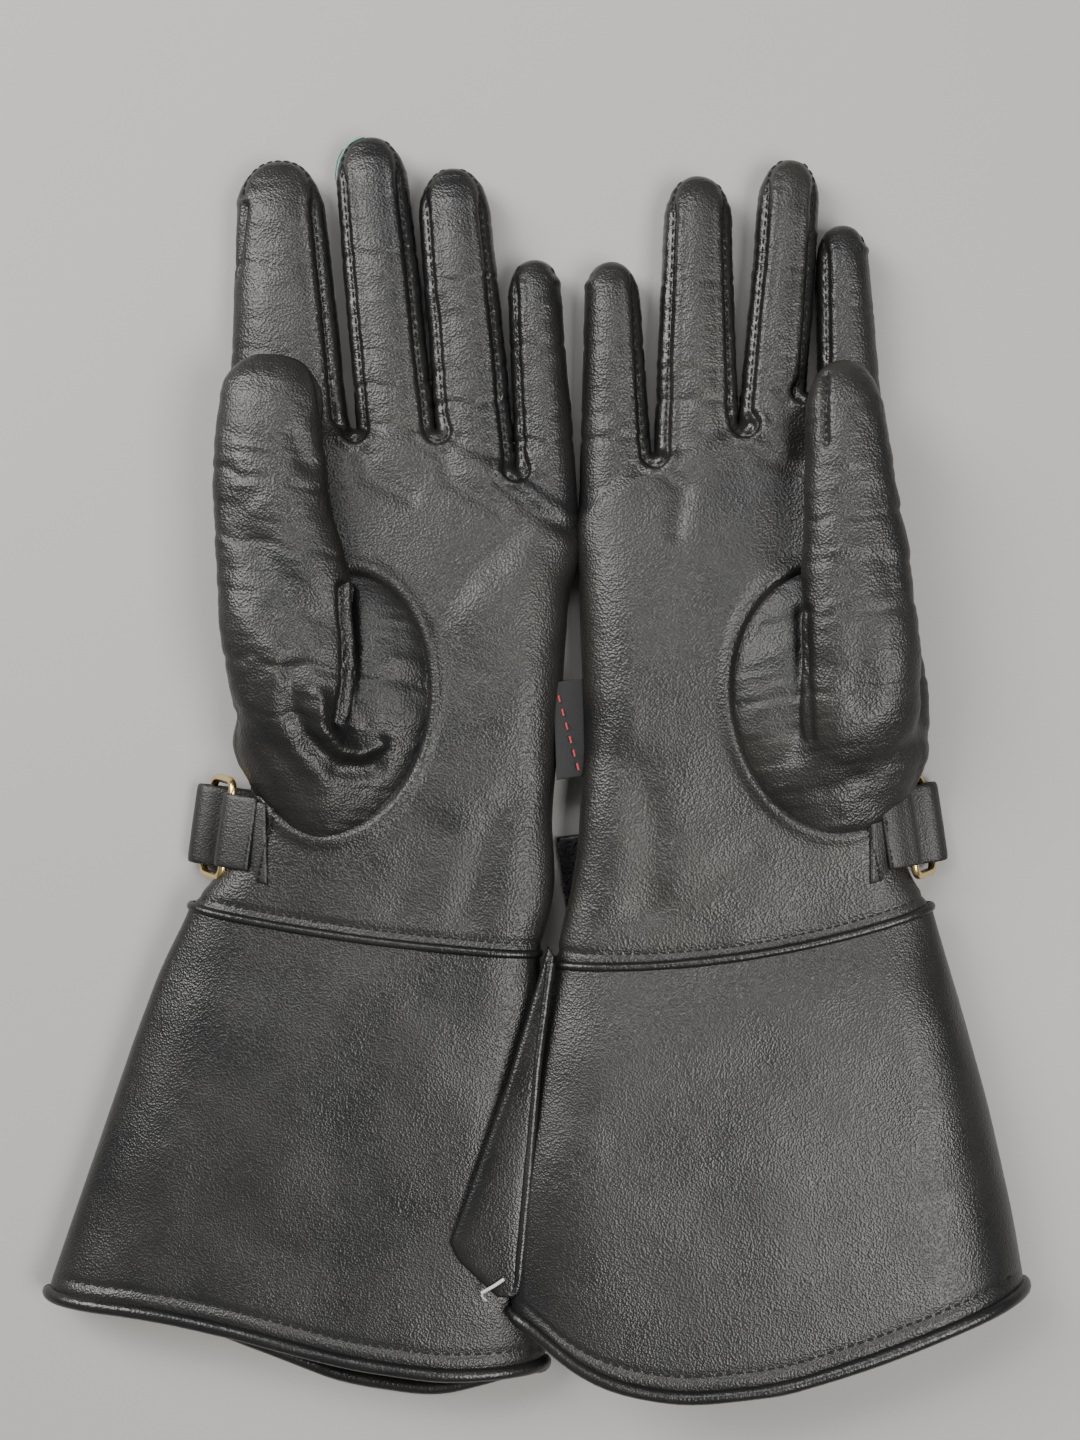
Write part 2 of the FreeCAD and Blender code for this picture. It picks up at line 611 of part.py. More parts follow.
def wrist_ring(glove, side, glove_place):
    """Brass wire ring: four straight runs joined by quarter bends, hung in its keeper."""
    width, length = number("dims.ring_width"), number("dims.ring_length")
    bend, start = number("dims.ring_bend"), number("dims.ring_start")
    far = -side * width
    near_x, far_x = -side * bend, far + side * bend
    pieces = []
    for name, x in (("inner", 0.0), ("outer", far)):
        rod = cylinder(f"{glove}_ring_{name}", "dims.wire_radius",
                       "dims.ring_length - 2 * dims.ring_bend",
                       Placement(Vector(x, bend, 0), Rotation(Vector(1, 0, 0), -90)))
        pieces.append(rod)
    for name, y in (("low", 0.0), ("high", length)):
        rod = cylinder(f"{glove}_ring_{name}", "dims.wire_radius",
                       "dims.ring_width - 2 * dims.ring_bend",
                       Placement(Vector(min(near_x, far_x), y, 0),
                                 Rotation(Vector(0, 1, 0), 90)))
        pieces.append(rod)
    left_x, right_x = min(near_x, far_x), max(near_x, far_x)
    for name, x, y, turn in (("a", right_x, length - bend, 0), ("b", left_x, length - bend, 90),
                             ("c", left_x, bend, 180), ("d", right_x, bend, 270)):
        torus = doc.addObject("Part::Torus", f"{glove}_ring_bend_{name}")
        torus.setExpression("Radius1", "dims.ring_bend")
        torus.setExpression("Radius2", "dims.wire_radius")
        torus.Angle3 = 90
        torus.Placement = place(x, y, 0, turn)
        pieces.append(torus)
    at = Placement(Vector(side * number(f"dims.{glove}_ring_at"), start,
                          number("dims.ring_height")),
                   Rotation(Vector(0, 1, 0), -side * number("dims.ring_tilt")))
    node(fuse(f"{glove}_ring_part", pieces), f"{glove}_wrist_ring", glove_place.multiply(at))

    axis = Rotation(Vector(1, 0, 0), -90)
    centre = Vector(side * number(f"dims.{glove}_ring_at"), number("dims.keeper_start"),
                    number("dims.ring_height"))
    tube = cylinder(f"{glove}_keeper_tube", "dims.keeper_radius", "dims.keeper_length",
                    Placement(centre, axis))
    bore = cylinder(f"{glove}_keeper_bore", "dims.keeper_bore", "dims.keeper_length + 2",
                    Placement(centre - Vector(0, 1, 0), axis))
    tab = doc.addObject("Part::Box", f"{glove}_keeper_tab")
    tab.setExpression("Length", "dims.tab_width")
    tab.setExpression("Width", "dims.keeper_length")
    tab.setExpression("Height", "dims.tab_thickness")
    lift = number("dims.keeper_radius - dims.tab_thickness")
    tilt = Rotation(Vector(0, 1, 0), -side * number("dims.tab_tilt"))
    corner = Vector(0 if side > 0 else -number("dims.tab_width"), 0, 0)
    tab.Placement = Placement(centre + Vector(0, 0, lift) + tilt.multVec(corner), tilt)
    loop = fuse(f"{glove}_keeper_solid", [tube, tab])
    node(cut(f"{glove}_keeper_part", loop, bore), f"{glove}_ring_keeper", glove_place)


def report_failures():
    """Names of document objects that did not recompute, and of bad sub-part shapes."""
    bad = [o.Name for o in doc.Objects if {"Invalid", "Error"} & set(o.State)]
    for piece in nodes:
        if piece.Shape.isNull() or not piece.Shape.isValid() or not piece.Shape.Solids:
            bad.append(piece.Label)
    return bad


fill_sheet()
for glove, side in (("left", 1), ("right", -1)):
    x, y, turn = (number(f"dims.{glove}_layout_{word}") for word in ("x", "y", "turn"))
    glove_place = place(x, y, 0, turn)
    hand(glove, side, glove_place)
    strap(glove, side, glove_place)
    wrist_ring(glove, side, glove_place)
    cuff(glove, side, glove_place)
doc.recompute()

failures = report_failures()
if failures:
    raise RuntimeError("failed: " + ", ".join(failures))

os.makedirs("parts", exist_ok=True)
whole = FreeCAD.BoundBox()
for piece in nodes:
    piece.Shape.exportStep(f"parts/{piece.Label}.step")
    whole.add(piece.Shape.BoundBox)
    volume = piece.Shape.Volume
    print(f"{piece.Label:32s} solids {len(piece.Shape.Solids):2d} volume {volume:10.1f}")
print(f"{len(nodes)} parts")
print(f"x {whole.XMin:.2f} {whole.XMax:.2f}  y {whole.YMin:.2f} {whole.YMax:.2f}"
      f"  z {whole.ZMin:.2f} {whole.ZMax:.2f}")
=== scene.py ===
import bpy
import json
import math
import numpy as np
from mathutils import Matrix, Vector
from mathutils.bvhtree import BVHTree


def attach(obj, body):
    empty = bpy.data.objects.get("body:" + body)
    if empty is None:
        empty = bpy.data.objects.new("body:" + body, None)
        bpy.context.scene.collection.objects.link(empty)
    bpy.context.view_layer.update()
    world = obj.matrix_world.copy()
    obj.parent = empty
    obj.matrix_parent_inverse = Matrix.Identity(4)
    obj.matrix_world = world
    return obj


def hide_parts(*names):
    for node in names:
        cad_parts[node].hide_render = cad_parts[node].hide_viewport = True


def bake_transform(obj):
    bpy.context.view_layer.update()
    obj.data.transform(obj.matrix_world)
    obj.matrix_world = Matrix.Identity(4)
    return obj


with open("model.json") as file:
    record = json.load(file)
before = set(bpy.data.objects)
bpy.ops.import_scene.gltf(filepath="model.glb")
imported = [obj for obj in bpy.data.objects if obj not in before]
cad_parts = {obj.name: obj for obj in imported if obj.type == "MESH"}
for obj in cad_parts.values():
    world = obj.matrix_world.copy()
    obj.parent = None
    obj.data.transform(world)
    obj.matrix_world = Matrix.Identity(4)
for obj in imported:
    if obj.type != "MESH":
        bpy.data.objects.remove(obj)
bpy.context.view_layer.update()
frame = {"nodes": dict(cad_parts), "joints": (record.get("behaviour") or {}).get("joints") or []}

# Each glove is drawn in millimetres in its own frame, as in the CAD model: x across the
# hand with the thumb on the negative side, y from the wrist seam to the fingertips, z up.
MM = 0.001
STEP = 0.7          # cell of the sampled distance fields
ROUND = 2.25        # exponent of the rounded outlines and cross-sections
DOME = 1.4          # length of a fingertip's dome, in half widths of the tip
SEAM_AT = 0.80      # a finger's seam, as a share of the way from centre line to edge
PIVOT_X = 1.0       # x of the wrist hinge
KNUCKLE_Y = 119     # where the fingers grow out of the padded palm
BOW = 52            # half width of the bow that the wrist seam makes
CUT = 9             # distance before a hinge at which finger and hand pieces part
STRAP_Y = 22.5      # middle of the wrist strap
RING_TILT = math.radians(59)
BAR_Z = 17          # height of the ring's upper bar
FINGERS = ("index", "middle", "ring_finger", "pinky")
JOINTS = {joint["name"]: joint for joint in frame["joints"]}

# Folds are (line, half width, depth), where a negative depth is a ridge.
GLOVES = {
    "left": {
        "side": 1, "seed": 5,
        "edges": {"y": (-8, 2, 9, 20, 36, 62, 100, 138, 160),
                  "thumb": (-52, -50, -43, -39.5, -36.5, -46, -55.5, -60.5, -62),
                  "pinky": (51, 51, 52, 52.5, 49.5, 47.5, 45.5, 41.5, 39)},
        "knuckles": ((-62, -22.2, 1.3, 25.2, 44), (143, 141, 144.2, 136.3, 128)),
        "thumb_seam": (-16.0, 63.0, 25.0, 35.5),
        "seam_dip": 2.2,
        "cuff_edges": {"y": (-118, -85, -42, -20, 0),
                       "thumb": (-77, -70.5, -62, -57, -50),
                       "pinky": (68.5, 66, 58.4, 55, 50.5)},
        "hem_at": (0, 0.2, 0.4, 0.6, 0.8, 1.0),
        "hem": (-116, -114.5, -116.5, -120.5, -121, -117),
        "back_hem": (-118, -118.5, -125, -132, -132.5, -119),
        "hand_folds": [
            ([(22, 132), (33, 124), (44, 121)], 2.6, 0.9),
            ([(-20, 136), (-16, 128), (-4, 124)], 3.0, 0.7),
            ([(2, 140), (8, 130), (22, 124)], 2.8, 0.6),
            ([(28, 118), (16, 104), (10, 92)], 5.0, 0.9),
            ([(37, 44), (31, 30), (29, 8)], 5.5, 0.9),
            ([(16, 30), (10, 8)], 6.5, 0.6),
            ([(-62, 201), (-62.6, 181)], 0.9, 1.3),
        ],
        "thumb_folds": [
            ([(-17, 95), (-13.4, 79), (-12.2, 70), (-13, 57)], 1.5, 3.0),
            ([(-28, 70), (-26, 58.5), (-20, 50.6), (-12.4, 44.8), (-3, 46)], 3.2, 2.0),
            ([(-19.5, 64), (-18.3, 56), (-13.1, 50), (-7, 49.4), (-2, 53)], 2.3, -1.8),
            ([(-50, 112), (-36, 96), (-22, 86)], 4.5, 0.9),
            ([(-46, 84), (-34, 74), (-27, 66)], 5.0, -1.0),
            ([(-44, 56), (-33, 50), (-22, 40)], 3.6, 0.8),
            ([(-33, 153), (-29, 141), (-27.6, 133)], 0.9, 1.1),
            ([(-36, 134), (-31, 128)], 3.0, 0.8),
        ],
        "thumb": {
            "y": (30, 38, 45, 61, 78, 100, 120, 140, 158),
            "outer": (-27, -34.5, -40, -45.5, -50.2, -54.5, -58.2, -59.5, -59.5),
            "inner": (-8, -9, -11, -11, -12, -16.6, -25, -30.0, -30.2),
            "tip": 157.5, "root": 25, "swell": 9.5,
            "join": (7, 46, 62),
            "creases": ((122, 0.35), (104, 0.3), (72, 0.4), (58, 0.35)),
            "dart": [(-35, 155), (-30.5, 146), (-28.2, 134)],
        },
        "deep": {"hem": 25, "middle": 23, "flare": 22, "rim": 7, "rim_top": 9},
        "gusset_from": 0.965,
        "ring_at": -42.5, "strap_tip": 40,
    },
    "right": {
        "side": -1, "seed": 8,
        "edges": {"y": (-8, 2, 9, 20, 36, 62, 100, 138, 160),
                  "thumb": (-56, -53.4, -50, -48.8, -47, -58.5, -61, -61.5, -62),
                  "pinky": (56, 54, 51, 46.5, 41.5, 36.5, 32, 27, 24)},
        "knuckles": ((-64, -41, -22.7, 4.2, 30), (146, 151, 144.2, 139.5, 128)),
        "thumb_seam": (-34.0, 62.5, 26.5, 35.5),
        "seam_dip": 5.5,
        "cuff_edges": {"y": (-118, -92, -61, -30, 0),
                       "thumb": (-66, -65.5, -63.3, -59.5, -55),
                       "pinky": (82, 80.7, 73.5, 64.5, 55.5)},
        "hem_at": (0, 0.12, 0.3, 0.5, 0.7, 0.85, 0.95, 1.0),
        "hem": (-111, -114, -120, -125, -124, -116, -103, -92),
        "back_hem": (-114, -117, -123, -128, -127, -118, -104, -92),
        "hand_folds": [
            ([(4, 136), (-2, 128), (2, 116)], 2.8, 0.8),
            ([(-22, 142), (-27, 134), (-36, 130)], 3.0, 0.7),
            ([(-44, 138), (-34, 128), (-28, 108)], 6.5, 1.0),
            ([(25, 52), (21, 34), (25, 12)], 6.0, 0.9),
            ([(-6, 22), (16, 13), (38, 8)], 4.0, 0.4),
        ],
        "thumb_folds": [
            ([(-29, 88), (-26.6, 70), (-25.6, 52)], 1.4, 1.0),
            ([(-44.5, 152), (-42.5, 143), (-41.2, 133)], 0.9, 1.3),
            ([(-52, 96), (-44, 80), (-40, 62)], 5.5, 0.8),
            ([(-52, 46), (-40, 40), (-28, 38)], 3.6, 0.6),
        ],
        "thumb": {
            "y": (30, 38, 45, 61, 78, 100, 120, 140, 156),
            "outer": (-47, -53, -56, -58.3, -60.5, -61, -60.4, -59.6, -59),
            "inner": (-18, -20, -22.5, -24.5, -27, -30.6, -34, -38, -39.5),
            "tip": 156, "root": 25, "swell": 9.0,
            "join": (6, 40, 56),
            "creases": ((112, 0.25), (86, 0.25), (64, 0.25)),
            "dart": [(-45, 152.5), (-42.7, 143), (-41.4, 133)],
        },
        "deep": {"hem": 31.5, "middle": 29.5, "flare": 26, "rim": 23, "rim_top": 18.5},
        "gusset_from": 0.975,
        "ring_at": -51.5, "strap_tip": 48.5,
        "fold": {
            "inner": [(54, 2, 21.5), (62.5, -27.6, 23.6), (70.5, -61.6, 24.2),
                      (77, -88, 24.2), (79, -91, 24.2)],
            "outer": [(55.5, 5, 21.0), (73, -32, 23.6), (87.4, -59, 24.2),
                      (95.2, -73.5, 24.2), (93.5, -79, 24.2), (84.5, -90, 24.2)],
            "tack": [([(81.5, -85.2, 26.6), (84.5, -86.6, 26.9), (88.3, -88.2, 26.2)], 0.5),
                     ([(88.2, -88.2, 26.2), (88.4, -89.4, 26.3), (87.2, -90.6, 26.1)], 0.22)],
        },
    },
}


# ---------------------------------------------------------------- frame helpers

class Glove:
    """One glove's measurements, and the way between its drawing and the row frame."""

    def __init__(self, name):
        self.name = name
        for key, value in GLOVES[name].items():
            setattr(self, key, value)
        self.noise = Noise(self.seed)
        hinge = JOINTS[f"{name}_wrist_flex"]
        self.axis = np.array(hinge["axis"][:2])
        self.along = np.array([-self.axis[1], self.axis[0]])
        self.origin = np.array(hinge["pos_m"][:2]) / MM - self.axis * self.side * PIVOT_X
        self.across_wrist = self.bend((0, -8, 10), (0, 6, 10), "cuff", "hand")

    def out(self, points):
        p = np.asarray(points, float).reshape(-1, 3)
        xy = (self.origin + np.outer(p[:, 0] * self.side, self.axis)
              + np.outer(p[:, 1], self.along))
        return np.column_stack([xy, p[:, 2]]) * MM

    def back(self, points):
        p = np.asarray(points, float).reshape(-1, 3) / MM
        d = p[:, :2] - self.origin
        return np.column_stack([d @ self.axis * self.side, d @ self.along, p[:, 2]])

    def turned(self, faces):
        """Faces with their outer side out: the right glove's drawing is mirrored."""
        return faces[:, ::-1] if self.side < 0 else faces

    def node(self, name):
        """Vertices of a CAD node in this glove's drawing."""
        mesh = frame["nodes"][f"{self.name}_{name}"].data
        co = np.zeros(len(mesh.vertices) * 3)
        mesh.vertices.foreach_get("co", co)
        return self.back(co)

    def bend(self, start, end, a, b):
        """Function that bakes a piece's transform into its mesh; it does not bend the piece."""
        return lambda piece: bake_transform(piece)

    def thumb_oval(self, x, y):
        """Distance from the middle of the thumb's oval seam, 1 on the seam itself."""
        cx, cy, ax, ay = self.thumb_seam
        return np.hypot((x - cx) / ax, (y - cy) / ay)

    def wrist_seam(self, share):
        """Height of the bowed wrist seam on the palm, by share of the way across."""
        return -self.seam_dip * 4 * share * (1 - share)


class Tube:
    """Finger or thumb: hinge place, lean, width, taper, length and height from the CAD."""

    def __init__(self, glove, name, joint):
        hinge = JOINTS[f"{glove.name}_{name}_{joint}"]
        self.name = name
        self.x, self.y, _ = glove.back(hinge["pos_m"])[0]
        axis = np.array(hinge["axis"][:2])
        self.lean = math.atan2(axis @ glove.along * glove.side, axis @ glove.axis)
        points, back = glove.node(f"{name}_front"), glove.node(f"{name}_back")
        xf, yf = self.local(points[:, 0], points[:, 1])
        self.width = np.abs(xf[yf < yf.min() + 1.0]).max()
        self.length = yf.max()
        far = yf > self.length * 0.4
        self.taper = ((self.width - np.abs(xf[far])) / yf[far]).min()
        self.low, high = back[:, 2].min(), points[:, 2].max()
        self.middle = (self.low + high) / 2
        self.height = (high - self.low) / 2
        self.dome = DOME * (self.width - self.taper * self.length)
        self.root = (self.y - KNUCKLE_Y) / math.cos(self.lean)

    def local(self, x, y):
        c, s = math.cos(self.lean), math.sin(self.lean)
        dx, dy = x - self.x, y - self.y
        return dx * c + dy * s, dy * c - dx * s

    def world(self, xf, yf):
        c, s = math.cos(self.lean), math.sin(self.lean)
        return self.x + xf * c - yf * s, self.y + xf * s + yf * c

    def half_width(self, yf):
        return self.width - self.taper * yf

    def plan(self, x, y):
        """Relative distance from the centre line (1 at the silhouette) and position."""
        xf, yf = self.local(x, y)
        across = np.abs(xf) / self.half_width(yf)
        end = np.maximum(0.0, (yf - (self.length - self.dome)) / self.dome)
        return (across ** ROUND + end ** ROUND) ** (1 / ROUND), xf, yf

    def rim(self, share, turn):
        """Point at a share of the tip's outline, turn going from one edge to the other."""
        c, s = math.cos(turn), math.sin(turn)
        w = self.half_width(self.length - self.dome)
        return (share * w * math.copysign(abs(c) ** (2 / ROUND), c),
                self.length - self.dome + share * self.dome * abs(s) ** (2 / ROUND))

    def seam(self, side, start, last):
        """Plan points of the seam on one side, from start up and round the tip."""
        straight = np.linspace(start, self.length - self.dome, 40)
        line = [(side * SEAM_AT * self.half_width(v), v) for v in straight]
        for turn in np.linspace(0, last, 12)[1:]:
            xf, yf = self.rim(SEAM_AT + (0.97 - SEAM_AT) * math.sin(turn), turn)
            line.append((side * xf, yf))
        return [self.world(*p) for p in line]


def soft_min(a, b, k):
    h = np.clip(0.5 + 0.5 * (b - a) / k, 0, 1)
    return b * (1 - h) + a * h - k * h * (1 - h)


def smooth(edge0, edge1, value):
    t = np.clip((value - edge0) / (edge1 - edge0), 0, 1)
    return t * t * (3 - 2 * t)


def ridge(value, width):
    """Soft ridge of height 1 where the value is zero."""
    return np.exp(-(value / width) ** 2)


def curve(value, stations, values, blur=4.0):
    """Stations joined by straight runs, with rounded corners."""
    total = 0
    for shift, weight in ((-1.5, 0.15), (-0.75, 0.2), (0, 0.3), (0.75, 0.2), (1.5, 0.15)):
        total = total + weight * np.interp(value + shift * blur, stations, values)
    return total


def circle(count):
    """Angles spaced evenly once round."""
    return np.linspace(0, 2 * math.pi, count, endpoint=False)


def eased(count):
    """Stations from 0 to 1 that crowd together at both ends."""
    return (1 - np.cos(np.linspace(0, math.pi, count))) / 2


def line_distance(x, y, points):
    """Distance in plan from every (x, y) to a polyline."""
    best = np.full(np.shape(x), 1e9)
    for (ax, ay), (bx, by) in zip(points[:-1], points[1:]):
        dx, dy = bx - ax, by - ay
        t = np.clip(((x - ax) * dx + (y - ay) * dy) / max(dx * dx + dy * dy, 1e-9), 0, 1)
        best = np.minimum(best, np.hypot(x - ax - t * dx, y - ay - t * dy))
    return best


class Noise:
    """Smooth value noise on a lattice, the same on every run."""

    def __init__(self, seed):
        self.lattice = np.random.RandomState(seed).uniform(-1, 1, (32, 32, 32))

    def at(self, p, scale):
        q = np.asarray(p) / scale
        base = np.floor(q).astype(int)
        f = q - base
        f = f * f * (3 - 2 * f)
        total = 0
        for corner in np.ndindex(2, 2, 2):
            index = (base + corner) % 32
            weight = np.prod(np.where(corner, f, 1 - f), axis=1)
            total = total + weight * self.lattice[index[:, 0], index[:, 1], index[:, 2]]
        return total


# ---------------------------------------------------------------- surfaces

def polygonise(field, *axes):
    """Vertices and quads of the surface where a sampled field is zero (inside below)."""
    inside = field < 0
    nx, ny, nz = field.shape
    count = np.zeros((nx - 1, ny - 1, nz - 1), int)
    for i, j, k in np.ndindex(2, 2, 2):
        count += inside[i:nx - 1 + i, j:ny - 1 + j, k:nz - 1 + k]
    cells = np.argwhere((count > 0) & (count < 8))
    number = np.full(count.shape, -1)
    number[tuple(cells.T)] = np.arange(len(cells))
    total = np.zeros((len(cells), 3))
    hits = np.zeros(len(cells))
    for a in np.ndindex(2, 2, 2):
        for axis in range(3):
            if a[axis]:
                continue
            b = tuple(v + (n == axis) for n, v in enumerate(a))
            fa = field[tuple((cells + a).T)]
            fb = field[tuple((cells + b).T)]
            crossed = (fa < 0) != (fb < 0)
            t = np.where(crossed, fa / np.where(crossed, fa - fb, 1), 0)
            point = np.array(a) + t[:, None] * (np.array(b) - a)
            total[crossed] += point[crossed]
            hits[crossed] += 1
    vertices = [axis[0] for axis in axes] + (cells + total / hits[:, None]) * STEP
    quads = []
    for axis in range(3):
        u, v = [n for n in range(3) if n != axis]
        spots = np.argwhere(np.diff(inside, axis=axis))
        keep = (spots[:, u] > 0) & (spots[:, v] > 0)
        keep &= (spots[:, u] < field.shape[u] - 1) & (spots[:, v] < field.shape[v] - 1)
        spots = spots[keep]
        shift_u, shift_v = np.eye(3, dtype=int)[u], np.eye(3, dtype=int)[v]
        ring = [number[tuple((spots - s).T)]
                for s in (shift_u + shift_v, shift_v, 0 * shift_u, shift_u)]
        quad = np.column_stack(ring)
        flip = inside[tuple(spots.T)]
        if axis == 1:
            flip = ~flip
        quad[~flip] = quad[~flip][:, ::-1]
        quads.append(quad)
    return vertices, np.vstack(quads)


def vertex_normals(vertices, faces):
    a, b, c, d = (vertices[faces[:, k]] for k in range(4))
    normal = np.cross(c - a, d - b)
    total = np.zeros_like(vertices)
    for k in range(4):
        np.add.at(total, faces[:, k], normal)
    return total / np.maximum(np.linalg.norm(total, axis=1), 1e-9)[:, None]


def new_object(name, data):
    piece = bpy.data.objects.new(name, data)
    bpy.context.scene.collection.objects.link(piece)
    return piece


def make_piece(glove, name, vertices, faces, material, move, node,
               normals=None):
    """Smooth piece from row-frame vertices. It rides a body, or a function is applied to it."""
    used, index = np.unique(faces, return_inverse=True)
    mesh = bpy.data.meshes.new(f"{glove.name}_{name}")
    mesh.from_pydata(vertices[used].tolist(), [], index.reshape(faces.shape).tolist())
    mesh.update()
    mesh.shade_smooth()
    if normals is not None:
        mesh.normals_split_custom_set_from_vertices(normals[used].tolist())
    mesh.materials.append(MATERIALS[material])
    piece = new_object(mesh.name, mesh)
    if node:
        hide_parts(f"{glove.name}_{node}")
    if isinstance(move, str):
        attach(piece, f"{glove.name}_{move}")
    else:
        move(piece)


def solid(glove, name, mesh, material, move, node=None):
    """Piece from drawing vertices and their faces."""
    vertices, faces = mesh
    make_piece(glove, name, glove.out(vertices), glove.turned(faces), material, move, node)


class Skin:
    """Drawn surface that is cut into pieces, which keep the whole surface's normals."""

    def __init__(self, glove, vertices, faces):
        self.glove = glove
        self.row = glove.out(vertices)
        self.faces = glove.turned(faces)
        self.normals = vertex_normals(self.row, self.faces)
        self.surface = BVHTree.FromPolygons(vertices.tolist(), faces.tolist())

    def cut(self, name, chosen, material, move, node):
        make_piece(self.glove, name, self.row, self.faces[chosen], material, move, node,
                   self.normals)


def grid_faces(rows, columns, closed=False):
    """Quads of a rows x columns grid of points, closed round the columns if asked."""
    r = np.arange(rows - 1)[:, None]
    c = np.arange(columns if closed else columns - 1)[None, :]
    n = (c + 1) % columns
    quads = np.stack([r * columns + c, r * columns + n,
                      (r + 1) * columns + n, (r + 1) * columns + c], axis=-1)
    return quads.reshape(-1, 4)


def sleeve(rows):
    """Open tube through rings of points."""
    return rows.reshape(-1, 3), grid_faces(len(rows), rows.shape[1], closed=True)


def loft(rows):
    """Tube through rings of points, drawn together at both ends."""
    tips = [row.mean(0) + 0 * row for row in (rows[0], rows[-1])]
    return sleeve(np.concatenate([tips[0][None], rows, tips[1][None]]))


def sweep(path, radius, sides=10, closed=False):
    """Round tube along a path; returns vertices and quads."""
    path = np.asarray(path, float)
    if closed:
        ahead = np.roll(path, -1, 0) - np.roll(path, 1, 0)
    else:
        ahead = np.gradient(path, axis=0)
    ahead /= np.linalg.norm(ahead, axis=1)[:, None]
    across = np.cross(ahead, [0, 0, 1.0])
    across /= np.maximum(np.linalg.norm(across, axis=1), 1e-6)[:, None]
    lift = np.cross(across, ahead)
    turn = circle(sides)
    radius = np.broadcast_to(radius, len(path))
    ring = (np.cos(turn)[None, :, None] * across[:, None]
            + np.sin(turn)[None, :, None] * lift[:, None])
    vertices, faces = sleeve(path[:, None] + radius[:, None, None] * ring)
    if closed:
        last = (len(path) - 1) * sides
        k = np.arange(sides)
        n = (k + 1) % sides
        faces = np.vstack([faces, np.column_stack([last + k, last + n, n, k])])
    return vertices, faces


def capsule():
    """Unit stitch along x: a short thread with rounded ends, half length 1, radius 1."""
    rings = [(-1.0, 0.45), (-0.75, 0.95), (0, 1.1), (0.75, 0.95), (1.0, 0.45)]
    turn = circle(6)
    return sleeve(np.array([[(x, r * math.cos(a), r * math.sin(a)) for a in turn]
                            for x, r in rings]))


def travelled(path):
    """Distance along a path at each of its points."""
    return np.concatenate([[0], np.cumsum(np.linalg.norm(np.diff(path, axis=0), axis=1))])


def interpolate(at, run, path):
    return np.column_stack([np.interp(at, run, column) for column in path.T])


def resample(points, pitch):
    points = np.asarray(points, float)
    run = travelled(points)
    return interpolate(np.arange(pitch / 2, run[-1], pitch), run, points)


def resample_even(points, pitch):
    """Points about a pitch apart from end to end, with the corners rounded."""
    points = np.asarray(points, float)
    run = travelled(points)
    path = interpolate(np.linspace(0, run[-1], max(3, int(run[-1] / pitch) + 1)), run, points)
    for _ in range(2):
        path[1:-1] = (path[:-2] + 2 * path[1:-1] + path[2:]) / 4
    return path


def close_path(points, pitch):
    """Even spacing round a closed path, with the corners rounded."""
    points = np.vstack([points, points[:1]])
    run = travelled(points)
    path = interpolate(np.linspace(0, run[-1], int(run[-1] / pitch), endpoint=False),
                       run, points)
    for _ in range(3):
        path = (np.roll(path, 1, 0) + 2 * path + np.roll(path, -1, 0)) / 4
    return path


def join(parts):
    """One vertex list and face list from several."""
    start, vertices, faces = 0, [], []
    for v, f in parts:
        vertices.append(v)
        faces.append(f + start)
        start += len(v)
    return np.vstack(vertices), np.vstack(faces)


def stitches(lines, surface, pitch, length, radius, down=True):
    """Thread stitches laid on a surface along plan lines (drawing millimetres)."""
    shape, quads = capsule()
    placed = []
    for line in lines:
        spots = resample(line, pitch)
        if len(spots) < 2:
            continue
        for spot, ahead in zip(spots, np.gradient(spots, axis=0)):
            start = Vector((spot[0], spot[1], 90 if down else -30))
            hit = surface.ray_cast(start, Vector((0, 0, -1 if down else 1)))
            if hit[0] is None or abs(hit[1].z) < 0.35:
                continue
            normal = np.array(hit[1]) * (1 if (hit[1].z > 0) == down else -1)
            ahead = np.array([ahead[0], ahead[1], 0.0])
            ahead -= normal * (ahead @ normal)
            ahead /= max(np.linalg.norm(ahead), 1e-9)
            side = np.cross(normal, ahead)
            placed.append((np.array(hit[0]) + shape[:, :1] * ahead * length / 2
                           + shape[:, 1:2] * side * radius
                           + shape[:, 2:] * normal * radius, quads))
    return join(placed)


def height_at(surface, x, y, beside=0.0):
    """Height of a surface from above, or another value beside it."""
    hit = surface.ray_cast(Vector((x, y, 60)), Vector((0, 0, -1)))[0]
    return beside if hit is None else hit.z


def squarish(turn, power):
    """Cosine or sine of a turn raised to a power, for a rounded strip's outline."""
    return np.sign(turn) * np.abs(turn) ** power


def ribbon(path, across, half_width, thickness):
    """Closed strip of leather or tape that follows a path of drawing points."""
    path = resample_even(path, 1.1)
    ahead = np.gradient(path, axis=0)
    ahead /= np.linalg.norm(ahead, axis=1)[:, None]
    across = np.asarray(across, float) / np.linalg.norm(across)
    normal = np.cross(ahead, across)
    normal /= np.linalg.norm(normal, axis=1)[:, None]
    turn = circle(16)
    wide = squarish(np.cos(turn), 0.2) * half_width
    thick = squarish(np.sin(turn), 0.6) * thickness / 2
    return loft(path[:, None] + wide[None, :, None] * across
                + thick[None, :, None] * normal[:, None])


# ---------------------------------------------------------------- hand and fingers

def slab(glove, y):
    """Plan data of the flat hand: side edges, and heights of underside, top and rim."""
    left = curve(y, glove.edges["y"], glove.edges["thumb"])
    right = curve(y, glove.edges["y"], glove.edges["pinky"])
    stations = (0, 36, 64, 100, 138)
    low = curve(y, stations, (6, 6, 0.3, 0.3, 0.4))
    high = curve(y, stations, (21, 21.5, 21.8, 21.4, 17.2))
    rim = curve(y, stations, (13.5, 13.5, 11, 10.5, 8.75))
    return left, right, low, high, rim


